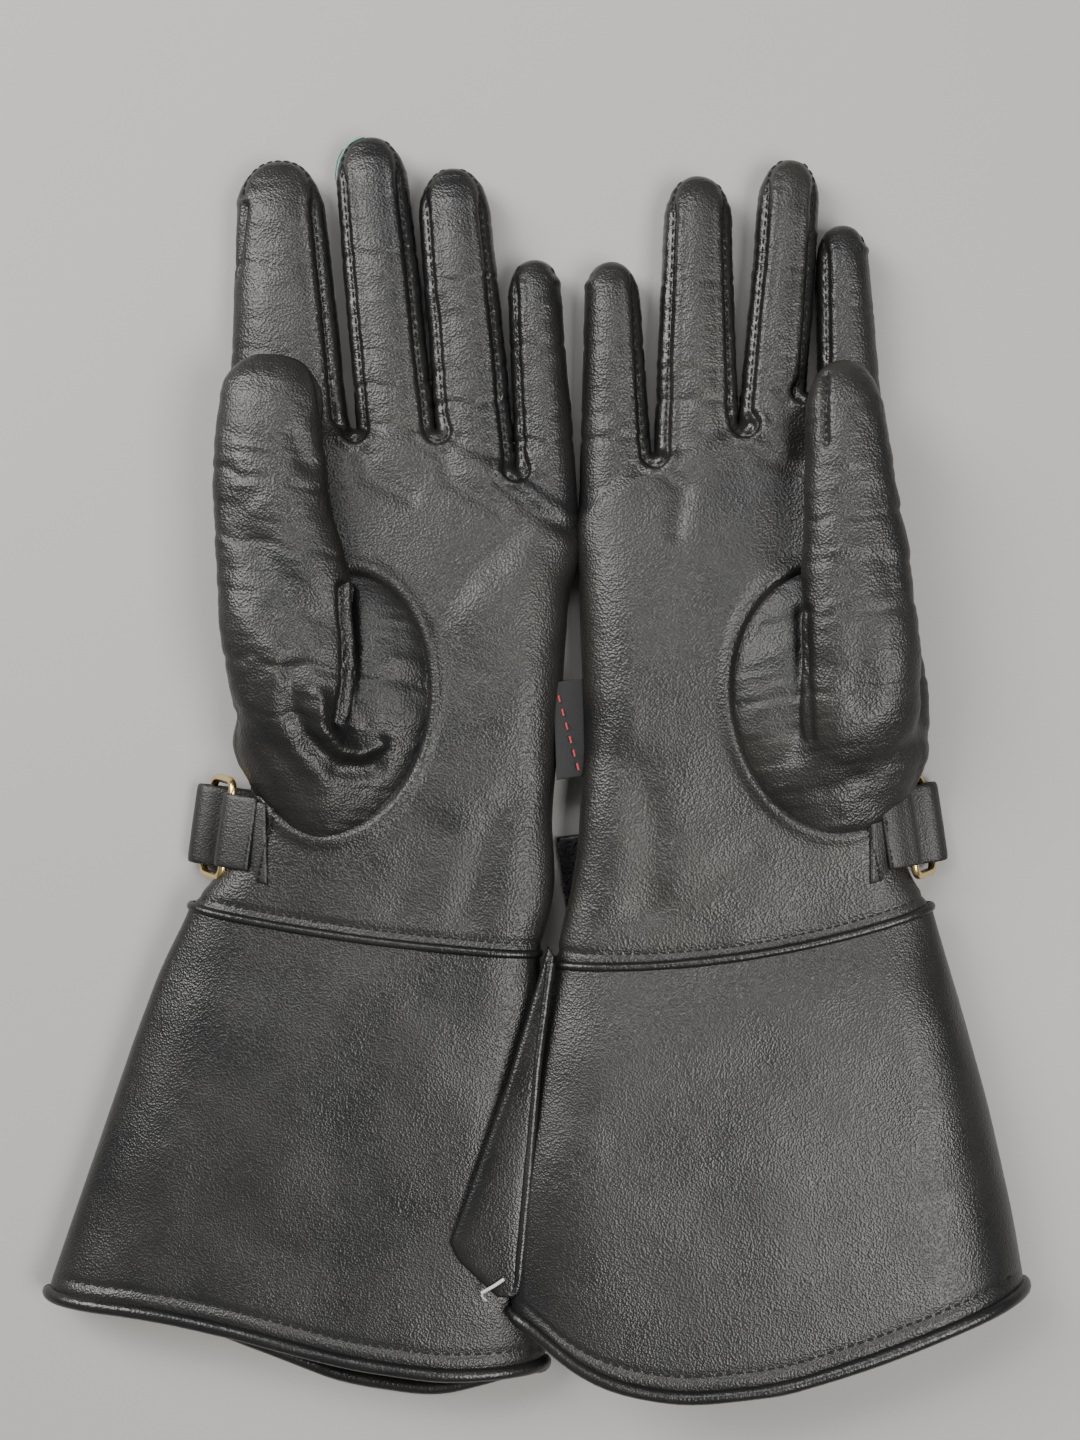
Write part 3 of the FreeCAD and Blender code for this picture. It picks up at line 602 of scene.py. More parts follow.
def rounded(inset, radius):
    """Superellipse height share of a padded edge at a given distance in from the edge."""
    q = np.clip((radius - inset) / radius, 0, 1)
    return (1 - q ** ROUND) ** (1 / ROUND)


def padded(plan, z, rim, half):
    """Field of a padded form from its plan's share, its rim's height and half heights."""
    return ((plan + (np.abs(z - rim) / half) ** ROUND) ** (1 / ROUND) - 1) * half


def gap_lines(glove, tubes):
    """Seam round each finger gap: down one finger, round the crotch and up the next."""
    half_turn = math.pi / 2
    lines = []
    for k, (a, b) in enumerate(zip(tubes, tubes[1:])):
        cx, cy = (part[k + 1] for part in glove.knuckles)
        down = a.seam(1, a.local(cx, cy + 4)[1], 2.8 if k == 0 else half_turn)[::-1]
        turn = [(cx + 3.2 * math.sin(t), cy + 0.6 - 3.4 * math.cos(t))
                for t in np.linspace(-1.35, 1.35, 9)]
        up = b.seam(-1, b.local(cx, cy + 4)[1], 2.6 if k == 2 else half_turn)
        lines.append(down + turn + up)
    return lines


def inside_polygon(x, y, polygon):
    result = np.zeros(len(x), bool)
    for (ax, ay), (bx, by) in zip(polygon, polygon[1:] + polygon[:1]):
        crosses = (ay > y) != (by > y)
        with np.errstate(divide="ignore", invalid="ignore"):
            result ^= crosses & (x < (bx - ax) * (y - ay) / (by - ay) + ax)
    return result


def hand_surface(glove, tubes):
    """Palm, back and fingers as one closed skin, open only at the wrist."""
    xs = np.arange(-70, 60, STEP)
    ys = np.arange(-9, 230, STEP)
    zs = np.arange(-1.2, 24.4, STEP)
    x, y = np.meshgrid(xs, ys, indexing="ij")
    z = zs[None, None, :]
    left, right, low, high, rim = slab(glove, y)
    inset = np.minimum(x - left, right - x)
    crotch = curve(x, *glove.knuckles, blur=2)
    side = np.clip((16 - inset) / 16, 0, 3)
    top = np.clip((5 - (crotch - y)) / 5, 0, 6)
    rim = rim[:, :, None]
    half = np.where(z > rim, high[:, :, None] - rim, rim - low[:, :, None])
    palm = padded((side ** ROUND + top ** ROUND)[:, :, None], z, rim, half)

    fingers = np.full(palm.shape, 99.0)
    for tube in tubes:
        s, _, yf = tube.plan(x, y)
        base = np.clip((-yf - tube.root) / 14, 0, 3)
        droop = 1 - 0.12 * smooth(tube.length * 0.6, tube.length, yf)[:, :, None]
        height = tube.height * droop
        fingers = np.minimum(fingers, padded((s ** ROUND + base ** ROUND)[:, :, None], z,
                                             tube.low + height, height))
    return polygonise(soft_min(palm, fingers, 3.0), xs, ys, zs)


def wrinkle(glove, vertices, normals, tubes, lines):
    """Creases, seams and unevenness of worn leather, along the surface normal."""
    noise = glove.noise
    shift = (0.45 * noise.at(vertices, 19) + 0.13 * noise.at(vertices + 40, 7)
             + 0.04 * noise.at(vertices + 90, 3.1))
    x, y = vertices[:, 0], vertices[:, 1]
    for tube in tubes:
        s, xf, yf = tube.plan(x, y)
        weight = smooth(-5, 20, yf + tube.root) * (s < 1.15)
        across = np.column_stack([xf / 8, yf / 2.2, vertices[:, 2] / 8])
        shift += weight * 0.10 * noise.at(across + 7, 1.0)
        for share, depth in ((0.34, 0.32), (0.43, 0.18), (0.68, 0.22)):
            bend = (yf + tube.root - share * (tube.length + tube.root)
                    + 1.6 * noise.at(across * [1, 0, 1], 0.7))
            shift -= weight * depth * ridge(bend, 0.9)
    seam = np.full(x.shape, 99.0)
    for line in lines:
        seam = np.minimum(seam, line_distance(x, y, line))
    pucker = noise.at(np.column_stack([x / 4, y / 1.1, 0 * x]), 1.0)
    shift += 0.13 * pucker * ridge(seam - 1.5, 2.5)
    sewn = np.ones(len(x))
    for tube in tubes:
        s, _, yf = tube.plan(x, y)
        sewn -= 0.7 * (s < 1.2) * smooth(tube.length - tube.dome,
                                         tube.length - 0.4 * tube.dome, yf)
    shift += sewn * (0.55 * ridge(seam - 2.1, 1.1) - 1.1 * ridge(seam, 0.75))
    front = smooth(0.1, 0.5, normals[:, 2])
    shift += front * fold_depth(glove.hand_folds, x, y)
    ring = (glove.thumb_oval(x, y) - 1) * sum(glove.thumb_seam[2:]) / 2
    shift += front * (0.9 * ridge(ring - 3.4, 2.0) - 1.5 * ridge(ring, 1.2))
    dip = glove.seam_dip * np.clip(1 - (x / BOW) ** 2, 0, 1)
    shift -= 0.4 * ridge(y + dip - 2.6, 1.0)
    return vertices + normals * shift[:, None]


def fold_depth(folds, x, y):
    total = np.zeros(len(x))
    for line, size, depth in folds:
        total -= depth * ridge(line_distance(x, y, line), size)
    return total


def split_by_finger(x, y, tubes):
    """Number of the finger each point belongs to beyond its cut, or -1 for the hand."""
    best = np.full(len(x), 9.0)
    owner = np.full(len(x), -1)
    for k, tube in enumerate(tubes):
        s, _, yf = tube.plan(x, y)
        closer = (s < best) & (yf > -CUT)
        best = np.where(closer, s, best)
        owner = np.where(closer, k, owner)
    return owner


def build_hand(glove):
    tubes = [Tube(glove, name, "curl") for name in FINGERS]
    lines = gap_lines(glove, tubes)
    vertices, faces = hand_surface(glove, tubes)
    vertices = wrinkle(glove, vertices, vertex_normals(vertices, faces), tubes, lines)
    x, y, z = vertices[faces].mean(axis=1).T
    left, right, _, _, rim = slab(glove, y)
    keep = y > glove.wrist_seam(np.clip((x - left) / (right - left), 0, 1)) - 1.2
    faces, x, y, z, rim = faces[keep], x[keep], y[keep], z[keep], rim[keep]
    skin = Skin(glove, vertices, faces)

    owner = split_by_finger(x, y, tubes)
    between = np.zeros(len(x), bool)
    for line, a, b in zip(lines, tubes, tubes[1:]):
        (ax, ay), (bx, by) = a.world(0, a.length), b.world(0, b.length)
        inner = [p for p in line if a.local(*p)[0] > 0 and b.local(*p)[0] < 0]
        between |= inside_polygon(x, y, [(ax, ay), *inner, (bx, by), (bx, 260.0),
                                         (ax, 260.0)])
    front = z > np.where(owner < 0, rim, tubes[0].middle)
    palm, back = front & ~between, ~front & ~between

    flex = glove.across_wrist
    hand = owner < 0
    skin.cut("palm_skin", hand & palm, "palm", flex, "palm_panel")
    skin.cut("back_skin", hand & back, "back", flex, "back_panel")
    skin.cut("gap_strips", hand & between, "trim", flex, "fourchettes")
    bow = [(u, 2.6 - glove.seam_dip * (1 - (u / BOW) ** 2)) for u in np.linspace(-50, 49, 40)]
    thread, quads = join([stitches(lines + [bow], skin.surface, 2.5, 1.7, 0.28, down)
                          for down in (True, False)])
    sewn_to = split_by_finger(thread[:, 0], thread[:, 1], tubes)[quads].max(axis=1)
    solid(glove, "hand_stitches", (thread, quads[sewn_to < 0]), "thread", flex)
    for k, tube in enumerate(tubes):
        mine = owner == k
        title = tube.name
        bend = glove.bend((*tube.world(0, -8), 17), (*tube.world(0, 8), 17), "hand", title)
        skin.cut(f"{title}_front_skin", mine & palm, "palm", bend, f"{title}_front")
        skin.cut(f"{title}_back_skin", mine & back, "back", bend, f"{title}_back")
        skin.cut(f"{title}_strip", mine & between, "trim", bend, f"{title}_fourchette")
        solid(glove, f"{title}_stitches", (thread, quads[sewn_to == k]), "thread", bend)
    return tubes, skin.surface


# ---------------------------------------------------------------- thumb

def thumb_heights(y):
    """Underside, rim and top of the thumb along the hand."""
    stations = (30, 45, 60, 75, 100, 140, 157)
    low = curve(y, stations, (12, 15, 19, 22.4, 22.6, 22.6, 22.6))
    high = curve(y, stations, (26, 32, 36.5, 37.6, 37.6, 37.2, 35.5))
    return low, low + (high - low) * 0.46, high


def thumb_surface(glove):
    """Folded thumb as a padded form, joined to the dome of its base."""
    thumb = glove.thumb
    xs, ys, zs = (np.arange(*span, STEP) for span in ((-68, 14), (22, 162), (14, 40)))
    x, y = np.meshgrid(xs, ys, indexing="ij")
    z = zs[None, None, :]
    outer = curve(y, thumb["y"], thumb["outer"])
    inner = curve(y, thumb["y"], thumb["inner"])
    s = np.abs(x - (outer + inner) / 2) / ((inner - outer) / 2)
    end = np.clip((y - (thumb["tip"] - 15.5)) / 15.5, 0, 3)
    base = np.clip((58 - y) / thumb["root"], 0, 3)
    low, rim, high = (part[:, :, None] for part in thumb_heights(y))
    tube = padded((s ** ROUND + end ** ROUND + base ** ROUND)[:, :, None], z, rim,
                  np.where(z > rim, high - rim, rim - low))

    reach = glove.thumb_oval(x, y)[:, :, None] / 1.08
    swell, power = thumb["swell"], 2.2
    dome = ((reach ** power + (np.maximum(z - 17, 0) / swell) ** power) ** (1 / power)
            - 1) * swell
    rise, start, stop = thumb["join"]
    join_size = 1.2 + rise * (1 - smooth(start, stop, y))
    return polygonise(soft_min(tube, dome, join_size[:, :, None]), xs, ys, zs)


def build_thumb(glove):
    vertices, faces = thumb_surface(glove)
    normals = vertex_normals(vertices, faces)
    noise = glove.noise
    across = vertices / [10, 1.8, 8]
    shift = (0.5 * noise.at(vertices + 20, 15) + 0.26 * noise.at(vertices + 60, 6.5)
             + 0.12 * noise.at(vertices + 33, 2.9) + 0.16 * noise.at(across, 1.0))
    for at, depth in glove.thumb["creases"]:
        bend = vertices[:, 1] - at + 2.2 * noise.at(across * [1, 0, 1], 0.8)
        shift -= depth * ridge(bend, 1.1)
    shift += smooth(0.1, 0.5, normals[:, 2]) * fold_depth(
        glove.thumb_folds, vertices[:, 0], vertices[:, 1])
    vertices = vertices + normals * shift[:, None]
    skin = Skin(glove, vertices, faces)

    hinge = Tube(glove, "thumb", "lift")
    x, y, z = vertices[faces].mean(axis=1).T
    front = z > thumb_heights(y)[1]
    root = hinge.local(x, y)[1] < -CUT
    bend = glove.bend((*hinge.world(0, 7.5), 45.5), (*hinge.world(0, 19), 57),
                      "hand", "thumb")
    skin.cut("thumb_root_skin", root, "palm", "hand", "thumb_gusset")
    skin.cut("thumb_front_skin", ~root & front, "palm", bend, "thumb_front")
    skin.cut("thumb_back_skin", ~root & ~front, "back", bend, "thumb_back")
    solid(glove, "thumb_stitches",
          stitches([glove.thumb["dart"]], skin.surface, 2.2, 1.6, 0.28), "thread", bend)


# ---------------------------------------------------------------- cuff

def cuff_point(glove, across, y, top, inset=0.0):
    """Point of the cuff's skin: across runs 0 to 1 from thumb edge to pinky edge."""
    edges, deep = glove.cuff_edges, glove.deep
    left = curve(y, edges["y"], edges["thumb"]) + inset
    right = curve(y, edges["y"], edges["pinky"]) - inset
    x = left + (right - left) * across
    thumb_rim = curve(y, (-121, -62, -20, 0), (10, 10, 11, 13.5))
    pinky_rim = curve(y, (-121, -62, -30, 0), (deep["rim"], deep["rim"], deep["rim_top"], 13.5))
    rim = thumb_rim + (pinky_rim - thumb_rim) * across
    if top:
        flat = curve(y, (-121, -62, -25, 0),
                     (deep["hem"], deep["middle"], deep["flare"], 21)) - inset
    else:
        flat = curve(y, (-121, -62, -20, 0), (1, 1, 1.8, 6)) + inset
    share = rounded(np.minimum(x - left, right - x), 16 + np.clip(-y, 0, 120) * 0.17)
    return np.stack([x, y + 0 * x, rim + (flat - rim) * share], axis=-1)


def cuff_sheet(glove, top, rows=150, columns=170, inset=0.0, start=None):
    """Points of one side of the cuff from the wrist, or from a given start, to the hem."""
    t = eased(columns)
    hem = curve(t, glove.hem_at, glove.hem if top else glove.back_hem, blur=0.04)
    if start is None:
        start = glove.wrist_seam(t) if top else 0 * t
    else:
        hem = hem + 2.5
    y = start + (hem - start) * np.linspace(0, 1, rows)[:, None] ** 0.9
    across = np.broadcast_to(t, y.shape)
    return cuff_point(glove, across, y, top, inset), y - hem, across


def cuff_leather(glove, top):
    """Side of the cuff with broad waves, fine unevenness and the groove above the hem."""
    points, above_hem, across = cuff_sheet(glove, top)
    faces = grid_faces(*across.shape)
    if top:
        faces = faces[:, ::-1]
    flat = points.reshape(-1, 3)
    normals = vertex_normals(flat, faces)
    noise = glove.noise
    fade = smooth(0, 22, -flat[:, 1])
    shift = (1.5 * noise.at(flat * [1, 1.3, 1], 52) * fade
             + 0.5 * noise.at(flat + 15, 19) * (0.3 + 0.7 * fade)
             + 0.06 * noise.at(flat + 70, 5.5))
    shift -= 0.3 * ridge(above_hem.reshape(-1) - 5.2, 1.0)
    shift += 0.35 * ridge(above_hem.reshape(-1) - 2.6, 1.5)
    share = across.reshape(-1)
    shift *= smooth(0, 0.06, np.minimum(share, 1 - share))
    return flat + normals * shift[:, None], faces, share, across.shape


def build_cuff(glove):
    flex = glove.across_wrist
    sheets, skins = [], []
    for top, part, material in ((True, "palm", "cuff"), (False, "back", "back")):
        flat, faces, share, shape = cuff_leather(glove, top)
        strip = share[faces].mean(axis=1) > glove.gusset_from
        skin = Skin(glove, flat, faces)
        skin.cut(f"cuff_{part}_skin", ~strip, material, flex, f"cuff_{part}_panel")
        skin.cut(f"cuff_gusset_{part}", strip, "trim", flex, "cuff_gusset")
        sheets.append(flat.reshape(*shape, 3))
        skins.append(skin)

    # Rolls: name, row of the sheets, pitch, radius, its noise, node and body or bend.
    for title, row, pitch, radius, uneven, at, scale, node, move in (
            ("hem_roll", -1, 1.4, 2.0, 0.12, 0, 9.0, "hem_binding", "cuff"),
            ("wrist_roll", 0, 1.2, 1.3, 0.08, 5, 7.0, "wrist_piping", flex)):
        loop = close_path(np.vstack([sheets[0][row], sheets[1][row][::-1][1:-1]]), pitch)
        radius = radius + uneven * glove.noise.at(loop + at, scale)
        loop[:, 2] = np.maximum(loop[:, 2], 2.2)
        solid(glove, title, sweep(loop + [0, -0.6, 0], radius, sides=14, closed=True),
              "trim", move, node)

    palm, back = (cuff_sheet(glove, top, 60, 60, 2.2, -3.0)[0] for top in (True, False))
    solid(glove, "cuff_lining_cloth",
          sleeve(np.concatenate([palm, back[:, ::-1][:, 1:-1]], axis=1)),
          "lining", flex, "cuff_lining")
    build_hand_lining(glove)

    t = np.linspace(0.03, 0.97, 90)
    y = curve(t, glove.hem_at, glove.hem, blur=0.04) + 5.2
    line = list(zip(cuff_point(glove, t, y, True)[:, 0], y))
    solid(glove, "hem_stitches", stitches([line], skins[0].surface, 2.9, 1.9, 0.36),
          "thread", "cuff")


def build_hand_lining(glove):
    """Inner sleeve of cloth from the wrist to the knuckles."""
    t = eased(40)
    rows = []
    for y in np.linspace(-2, 126, 60):
        left, right, low, high, rim = slab(glove, np.full(1, y))
        x = left + 2.6 + (right - left - 5.2) * t
        share = rounded(np.minimum(x - x.min(), x.max() - x), 14)
        top = rim + (high - rim - 2.6) * share
        bottom = rim - (rim - low - 2.2) * share
        rows.append(np.vstack([np.column_stack([x, 0 * x + y, top]),
                               np.column_stack([x, 0 * x + y, bottom])[::-1][1:-1]]))
    solid(glove, "hand_lining_cloth", sleeve(np.array(rows)), "lining",
          glove.across_wrist, "hand_lining")


def build_fold(glove):
    """The right glove's gusset, folded flat and laid out beside the cuff."""
    pick = np.linspace(0, 1, 130)
    inner, outer = (interpolate(pick, np.linspace(0, 1, len(path)), path) for path in (
        resample_even(glove.fold[edge], 1.0) for edge in ("inner", "outer")))
    turn = circle(48)
    half = np.clip(np.linalg.norm(outer - inner, axis=1) / 2, 0.3, None)
    thick = np.minimum(half, 1.9)
    side = (outer - inner) / (2 * half)[:, None]
    reach, lift = squarish(np.cos(turn), 0.5), squarish(np.sin(turn), 0.7)
    rows = (((inner + outer) / 2)[:, None]
            + reach[None, :, None] * (side * half[:, None])[:, None]
            + lift[None, :, None] * (thick[:, None] * np.array([0, 0, 1.0]))[:, None])
    wave = glove.noise.at(rows.reshape(-1, 3), 21).reshape(len(pick), -1)
    rows[:, :, 2] += 0.5 * wave * smooth(4, 14, half)[:, None]
    solid(glove, "gusset_fold", loft(rows), "trim", "cuff", "cuff_gusset")
    roll = inner[2:-2] + [1.0, 0, 0.9]
    radius = 1.45 + 0.15 * glove.noise.at(roll, 8.0)
    solid(glove, "gusset_roll", sweep(roll, radius, sides=12), "trim", "cuff")
    solid(glove, "gusset_tack", join([sweep(resample_even(line, 0.5), size, sides=6)
                                      for line, size in glove.fold["tack"]]),
          "white_thread", "cuff")


# ---------------------------------------------------------------- strap and ring

def hook_loops(glove):
    """Loose loops of the hook-and-loop tape, denser towards the strap's tip."""
    rng = np.random.RandomState(11 + glove.side)
    loops = []
    for _ in range(1400):
        x = glove.strap_tip - abs(rng.normal(0, 11))
        if x < 7:
            continue
        y = rng.uniform(12.6, 32.4)
        turn, size = rng.uniform(0, math.pi), rng.uniform(0.5, 0.9)
        a = np.linspace(-0.4, rng.uniform(2.2, 3.6), 6)
        curl = np.column_stack([x + size * np.cos(a) * math.cos(turn),
                                y + size * np.cos(a) * math.sin(turn),
                                2.8 + size * np.abs(np.sin(a)) * 1.2])
        loops.append(sweep(curl, 0.16, sides=4))
    return join(loops)


def build_strap(glove, palm_surface):
    bar, tip = glove.ring_at, glove.strap_tip
    low_x = bar - 14.6 * math.cos(RING_TILT)
    low_z = BAR_Z - 14.6 * math.sin(RING_TILT)

    def above(x, y, lift):
        """Height over the palm, or the rim's height beside it."""
        return height_at(palm_surface, x, y, 13.5 - lift) + lift

    def band(name, path, half_width, thickness, material, move, node=None, y=STRAP_Y,
             across=(0, 1, 0)):
        """Ribbon through points (x, z) of the strap's middle."""
        solid(glove, name, ribbon([(x, y, z) for x, z in path], across, half_width,
                                  thickness), material, move, node)

    arc = [(low_x - 4.25 * math.sin(t), low_z - 3.4 * math.cos(t))
           for t in np.linspace(0.2, math.pi - 0.2, 9)]
    band("strap_loop", [(-25, 1.0), (low_x + 8, 1.0), *arc, (low_x + 12, low_z + 2.3),
                        (-18, 5.0), (30, 5.0)], 11.5, 1.6, "strap", "hand", "wrist_strap")
    band("strap_free_end", [(-12, 1.2), (10, 1.2), (tip, 1.2)], 11.5, 1.6, "strap",
         "strap_tail", "strap_end")
    band("hook_base", [(6, 2.6), (25, 2.6), (tip, 2.6)], 10.5, 1.0, "hook", "strap_tail",
         "hook_tape")
    solid(glove, "hook_pile", hook_loops(glove), "hook", "strap_tail")

    # Ring: a rounded rectangle from its four corners, tilted about its upper bar.
    plan = np.array([(cx + 3 * math.cos(turn), cy + 3 * math.sin(turn))
                     for cx, cy, first in ((3, 25, 90), (11.6, 25, 0), (11.6, 3, -90),
                                           (3, 3, 180))
                     for turn in np.radians(np.linspace(first + 90, first, 7))])
    ring = np.column_stack([bar - plan[:, 0] * math.cos(RING_TILT), 8.5 + plan[:, 1],
                            BAR_Z - plan[:, 0] * math.sin(RING_TILT)])
    solid(glove, "brass_ring", sweep(close_path(ring, 0.6), 1.2, sides=14, closed=True),
          "brass", "buckle", "wrist_ring")

    wrap = [(bar + 2.3 * math.cos(t), BAR_Z + 2.3 * math.sin(t))
            for t in np.linspace(1.75, 4.4, 10)]
    sewn_at = bar + 7.8
    band("ring_keeper_loop", [(sewn_at, above(sewn_at, STRAP_Y, 1.6)),
                              (bar + 4, above(sewn_at, STRAP_Y, 1.0)), (bar + 1, 19.4),
                              *wrap, (bar + 2.2, 14.6)],
         10.5, 1.3, "strap", "hand", "ring_keeper")
    band("keeper_patch", [(bar + d, above(bar + d, 20.5, 0.55))
                          for d in (12.2, 10, 8, 6, 4.4)],
         11.6, 1.1, "strap", "hand", y=20.5, across=(-0.16, 1, 0))

    # The patch's stitches are laid on a level plane, then dropped onto patch and loop.
    lines = [[(bar + 12.9, 31), (bar + 10.6, 8.5)], [(bar + 6.9, 32.4), (bar + 6.9, 12.5)]]
    plane = BVHTree.FromPolygons([(bar, 0, 0), (bar + 16, 0, 0), (bar + 16, 40, 0),
                                  (bar, 40, 0)], [(0, 1, 2, 3)])
    vertices, faces = stitches(lines, plane, 2.0, 1.5, 0.3)
    vertices[:, 2] += [above(x, y, 0) + (0.9 if x > bar + 9 else 2.3)
                       for x, y in vertices[:, :2].tolist()]
    solid(glove, "keeper_stitches", (vertices, faces), "thread", "hand")


def build_label(glove):
    """Plain woven label with a row of red stitches, caught in the outer seam."""
    path = [(35.5, 65, 12.5), (38.5, 65, 14.5), (41.5, 65, 15.6), (44.5, 65, 16.0)]
    solid(glove, "side_label", ribbon(path, (-0.11, 1, 0), 14, 0.6), "label", "hand")
    line = [(42.4 - 0.12 * (78 - y), y, 16.35) for y in np.linspace(53, 77, 13)]
    solid(glove, "label_border", join([sweep(line[k:k + 2], 0.32, sides=5)
                                       for k in range(0, 12, 2)]), "red_thread", "hand")


def build_raw_edge(glove, tube, surface):
    """Pale cut edge and loose thread at the tip of the left middle finger."""
    edge = []
    for turn in np.linspace(math.pi * 0.97, math.pi * 0.52, 16):
        top = height_at(surface, *tube.world(*tube.rim(0.9, turn)))
        edge.append((*tube.world(*tube.rim(0.985, turn)), top - 1.8))
    thread = [(x - 0.9, y + 0.5, z - 1.5) for x, y, z in edge[:9]]
    solid(glove, "middle_raw_edge", join([
        sweep(resample_even(edge, 0.6), 0.4, sides=6),
        sweep(resample_even(thread, 0.6), 0.24, sides=5)]), "raw_edge", "middle")


# ---------------------------------------------------------------- materials

def feed(node, inputs):
    """Set a node's inputs, where a socket is linked and anything else is its value."""
    for title, value in inputs.items():
        if isinstance(value, bpy.types.NodeSocket):
            node.id_data.links.new(value, node.inputs[title])
        else:
            node.inputs[title].default_value = value
    return node.outputs


class Look:
    """A material's node tree, fed by the mesh's own coordinates."""

    def __init__(self, name):
        self.material = bpy.data.materials.new(name)
        self.material.use_nodes = True
        self.new = self.material.node_tree.nodes.new
        self.place = self.new("ShaderNodeTexCoord").outputs["Object"]

    def noise(self, scale, detail, roughness=0.55):
        return feed(self.new("ShaderNodeTexNoise"), {
            "Vector": self.place, "Scale": scale, "Detail": detail,
            "Roughness": roughness})["Fac"]

    def remap(self, value, low, high, to_low, to_high):
        return feed(self.new("ShaderNodeMapRange"), {
            "Value": value, "From Min": low, "From Max": high, "To Min": to_low,
            "To Max": to_high})["Result"]

    def bump(self, height, distance, strength, **below):
        return feed(self.new("ShaderNodeBump"), {
            "Height": height, "Distance": distance, "Strength": strength, **below})["Normal"]

    def tint(self, value, dark, light):
        node = self.new("ShaderNodeMix")
        node.data_type = "RGBA"
        return feed(node, {"Factor": value, "A": (*dark, 1), "B": (*light, 1)})["Result"]

    def finish(self, inputs):
        feed(self.material.node_tree.nodes["Principled BSDF"], inputs)
        return self.material


def leather(name, dark, light, gloss, grain, depth, crease):
    """Pebbled leather: worn tint, uneven gloss, grain cells over fine and broad creases."""
    look = Look(name)
    worn = look.remap(look.noise(28, 4), 0.38, 0.66, 0, 1)
    cells = look.new("ShaderNodeTexVoronoi")
    cells.feature = "SMOOTH_F1"
    feed(cells, {"Vector": look.place, "Scale": grain, "Smoothness": 0.35})
    broad = look.bump(look.noise(500, 3, 0.6), 0.0007, crease)
    fine = look.bump(look.noise(2600, 2), 0.00012, depth, Normal=broad)
    return look.finish({
        "Base Color": look.tint(worn, dark, light),
        "Roughness": look.remap(look.noise(60, 5), 0.3, 0.7, gloss - 0.05, gloss + 0.07),
        "Normal": look.bump(cells.outputs["Distance"], 0.0004, depth, Normal=fine),
        "IOR": 1.5})


def cloth(name, dark, light, scale):
    look = Look(name)
    fuzz = look.noise(scale, 3)
    return look.finish({"Base Color": look.tint(fuzz, dark, light), "Roughness": 0.9,
                        "Normal": look.bump(fuzz, 0.0004, 0.6)})


def brass(name, dark, light):
    look = Look(name)
    patch = look.noise(150, 3)
    return look.finish({"Base Color": look.tint(patch, dark, light), "Metallic": 1.0,
                        "Roughness": look.remap(patch, 0.3, 0.7, 0.17, 0.3)})


MATERIALS = {
    "palm": leather("palm leather", (0.007, 0.007, 0.0074), (0.018, 0.0165, 0.0145),
                    0.36, 1500, 0.40, 0.06),
    "cuff": leather("cuff leather", (0.0075, 0.0075, 0.0078), (0.014, 0.0133, 0.0125),
                    0.34, 1700, 0.36, 0.02),
    "back": leather("back leather", (0.007, 0.007, 0.0073), (0.014, 0.014, 0.014),
                    0.42, 1500, 0.38, 0.06),
    "trim": leather("trim leather", (0.006, 0.006, 0.0063), (0.012, 0.0115, 0.011),
                    0.29, 1600, 0.22, 0.03),
    "strap": leather("strap leather", (0.010, 0.010, 0.010), (0.017, 0.017, 0.0168),
                     0.42, 1700, 0.28, 0.04),
    "lining": cloth("lining cloth", (0.006, 0.006, 0.007), (0.018, 0.018, 0.019), 1500),
    "hook": cloth("hook tape cloth", (0.012, 0.012, 0.013), (0.05, 0.05, 0.052), 1800),
    "thread": cloth("black thread", (0.003, 0.003, 0.003), (0.011, 0.011, 0.011), 3000),
    "white_thread": cloth("white thread", (0.45, 0.45, 0.43), (0.6, 0.6, 0.58), 3000),
    "red_thread": cloth("red thread", (0.32, 0.03, 0.04), (0.5, 0.07, 0.08), 3000),
    "raw_edge": cloth("raw hide edge", (0.13, 0.25, 0.23), (0.25, 0.38, 0.35), 2000),
    "label": cloth("woven label", (0.012, 0.012, 0.013), (0.03, 0.03, 0.031), 2600),
    "brass": brass("brass wire", (0.62, 0.43, 0.17), (0.86, 0.69, 0.36)),
}

for name in GLOVES:
    glove = Glove(name)
    tubes, palm_surface = build_hand(glove)
    build_thumb(glove)
    build_cuff(glove)
    build_strap(glove, palm_surface)
    if name == "right":
        build_fold(glove)
        build_label(glove)
    else:
        build_raw_edge(glove, tubes[FINGERS.index("middle")], palm_surface)


# ---------------------------------------------------------------- stage

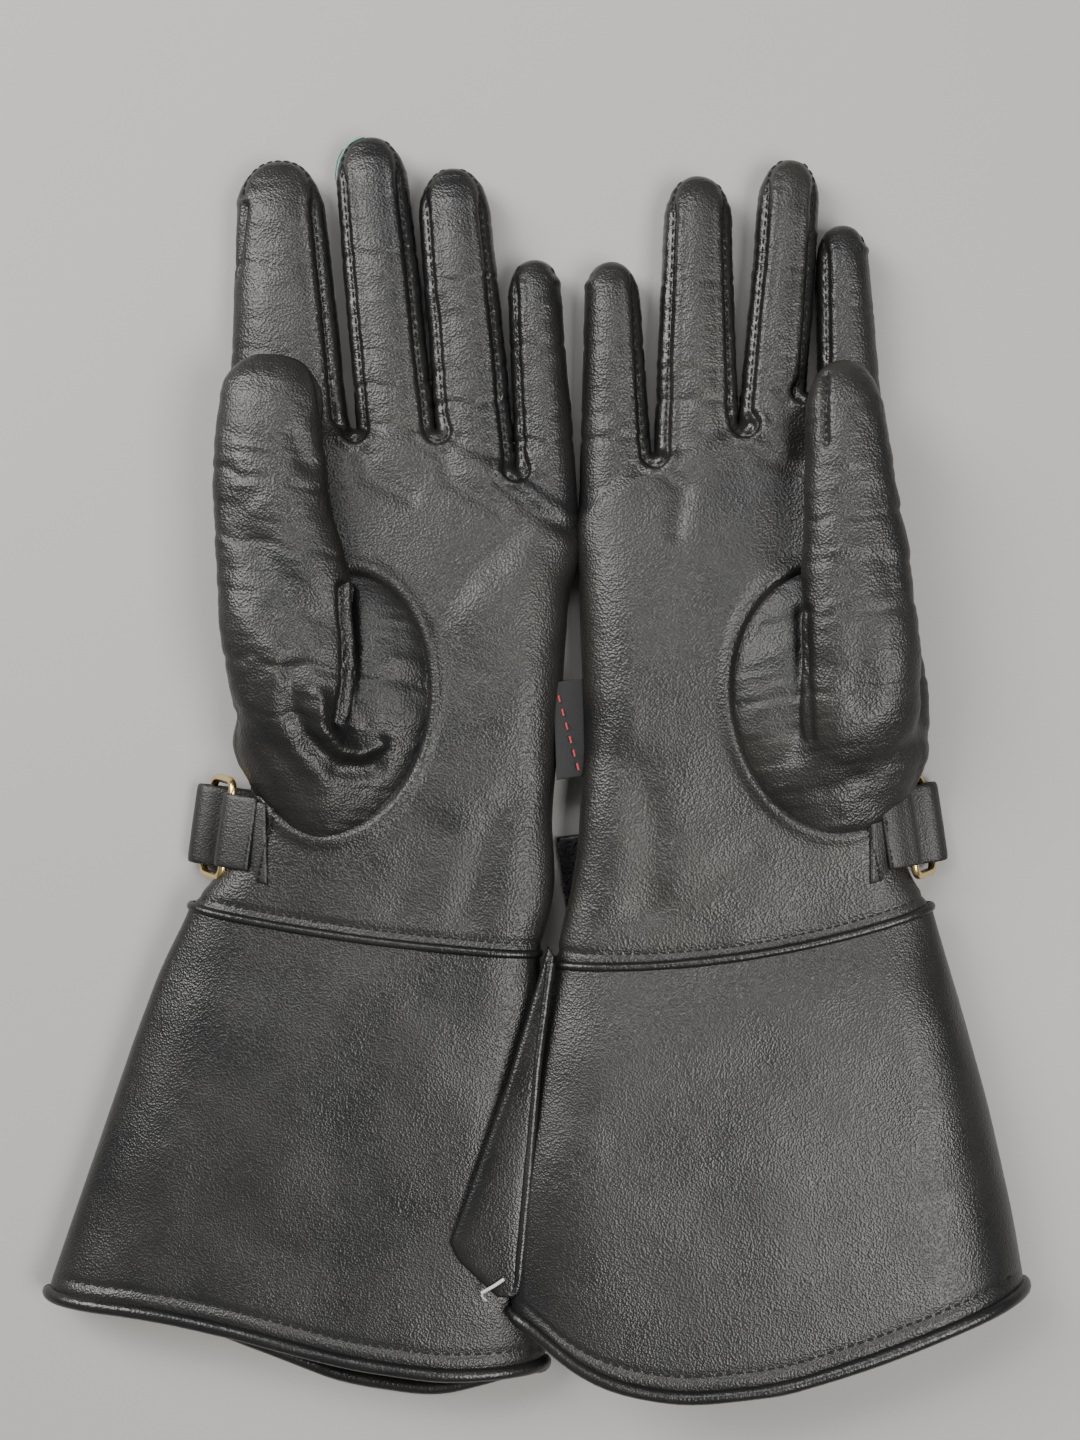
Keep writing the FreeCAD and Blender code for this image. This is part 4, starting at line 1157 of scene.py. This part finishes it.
def floor():
    mesh = bpy.data.meshes.new("floor")
    mesh.from_pydata([(-3, -3, 0), (3, -3, 0), (3, 3, 0), (-3, 3, 0)], [], [(0, 1, 2, 3)])
    look = Look("floor")
    tint = look.tint(look.noise(3, 3), (0.34, 0.33, 0.32), (0.37, 0.36, 0.35))
    mesh.materials.append(look.finish({"Base Color": tint, "Roughness": 0.6}))
    new_object("floor", mesh)


def lamp(name, place, target, size, power, colour=(1, 1, 1)):
    light = bpy.data.lights.new(name, "AREA")
    light.shape = "RECTANGLE"
    light.size, light.size_y = size
    light.energy = power
    light.color = colour
    piece = new_object(name, light)
    piece.location = place
    piece.rotation_euler = (Vector(target) - Vector(place)).to_track_quat("-Z", "Y").to_euler()


def sky():
    """Soft light from all round, weakest straight above and near the horizon."""
    world = bpy.data.worlds.new("studio")
    world.use_nodes = True
    nodes = world.node_tree.nodes
    place = nodes.new("ShaderNodeTexCoord").outputs["Generated"]
    height = feed(nodes.new("ShaderNodeSeparateXYZ"), {"Vector": place})["Z"]
    ramp = nodes.new("ShaderNodeValToRGB")
    points = ramp.color_ramp.elements
    points[0].color, points[1].color = (0.35, 0.35, 0.36, 1), (0.10, 0.10, 0.10, 1)
    for at, level in ((0.6, 0.65), (0.86, 1.0), (0.965, 0.2)):
        points.new(at).color = (level, level, 0.98 * level, 1)
    feed(nodes["Background"], {"Color": feed(ramp, {"Fac": height})["Color"],
                               "Strength": 0.4})
    bpy.context.scene.world = world


floor()
lamp("overhead", (0.62, -0.3, 1.25), (0.62, -0.3, 0), (0.6, 0.8), 20, (1, 0.985, 0.95))
lamp("back", (-0.2, 0.75, 1.2), (-0.2, 0.75, 0), (0.8, 0.4), 8)
lamp("window", (-0.85, 0.60, 0.95), (0, 0, 0), (0.6, 0.9), 24, (1, 0.985, 0.96))
sky()

camera = bpy.data.cameras.new("camera")
camera.sensor_fit = "VERTICAL"
camera.sensor_height = 24
camera.lens = 33.4
camera_piece = new_object("camera", camera)
camera_piece.location = (0.0019, 0.0114, 0.59)
bpy.context.scene.camera = camera_piece
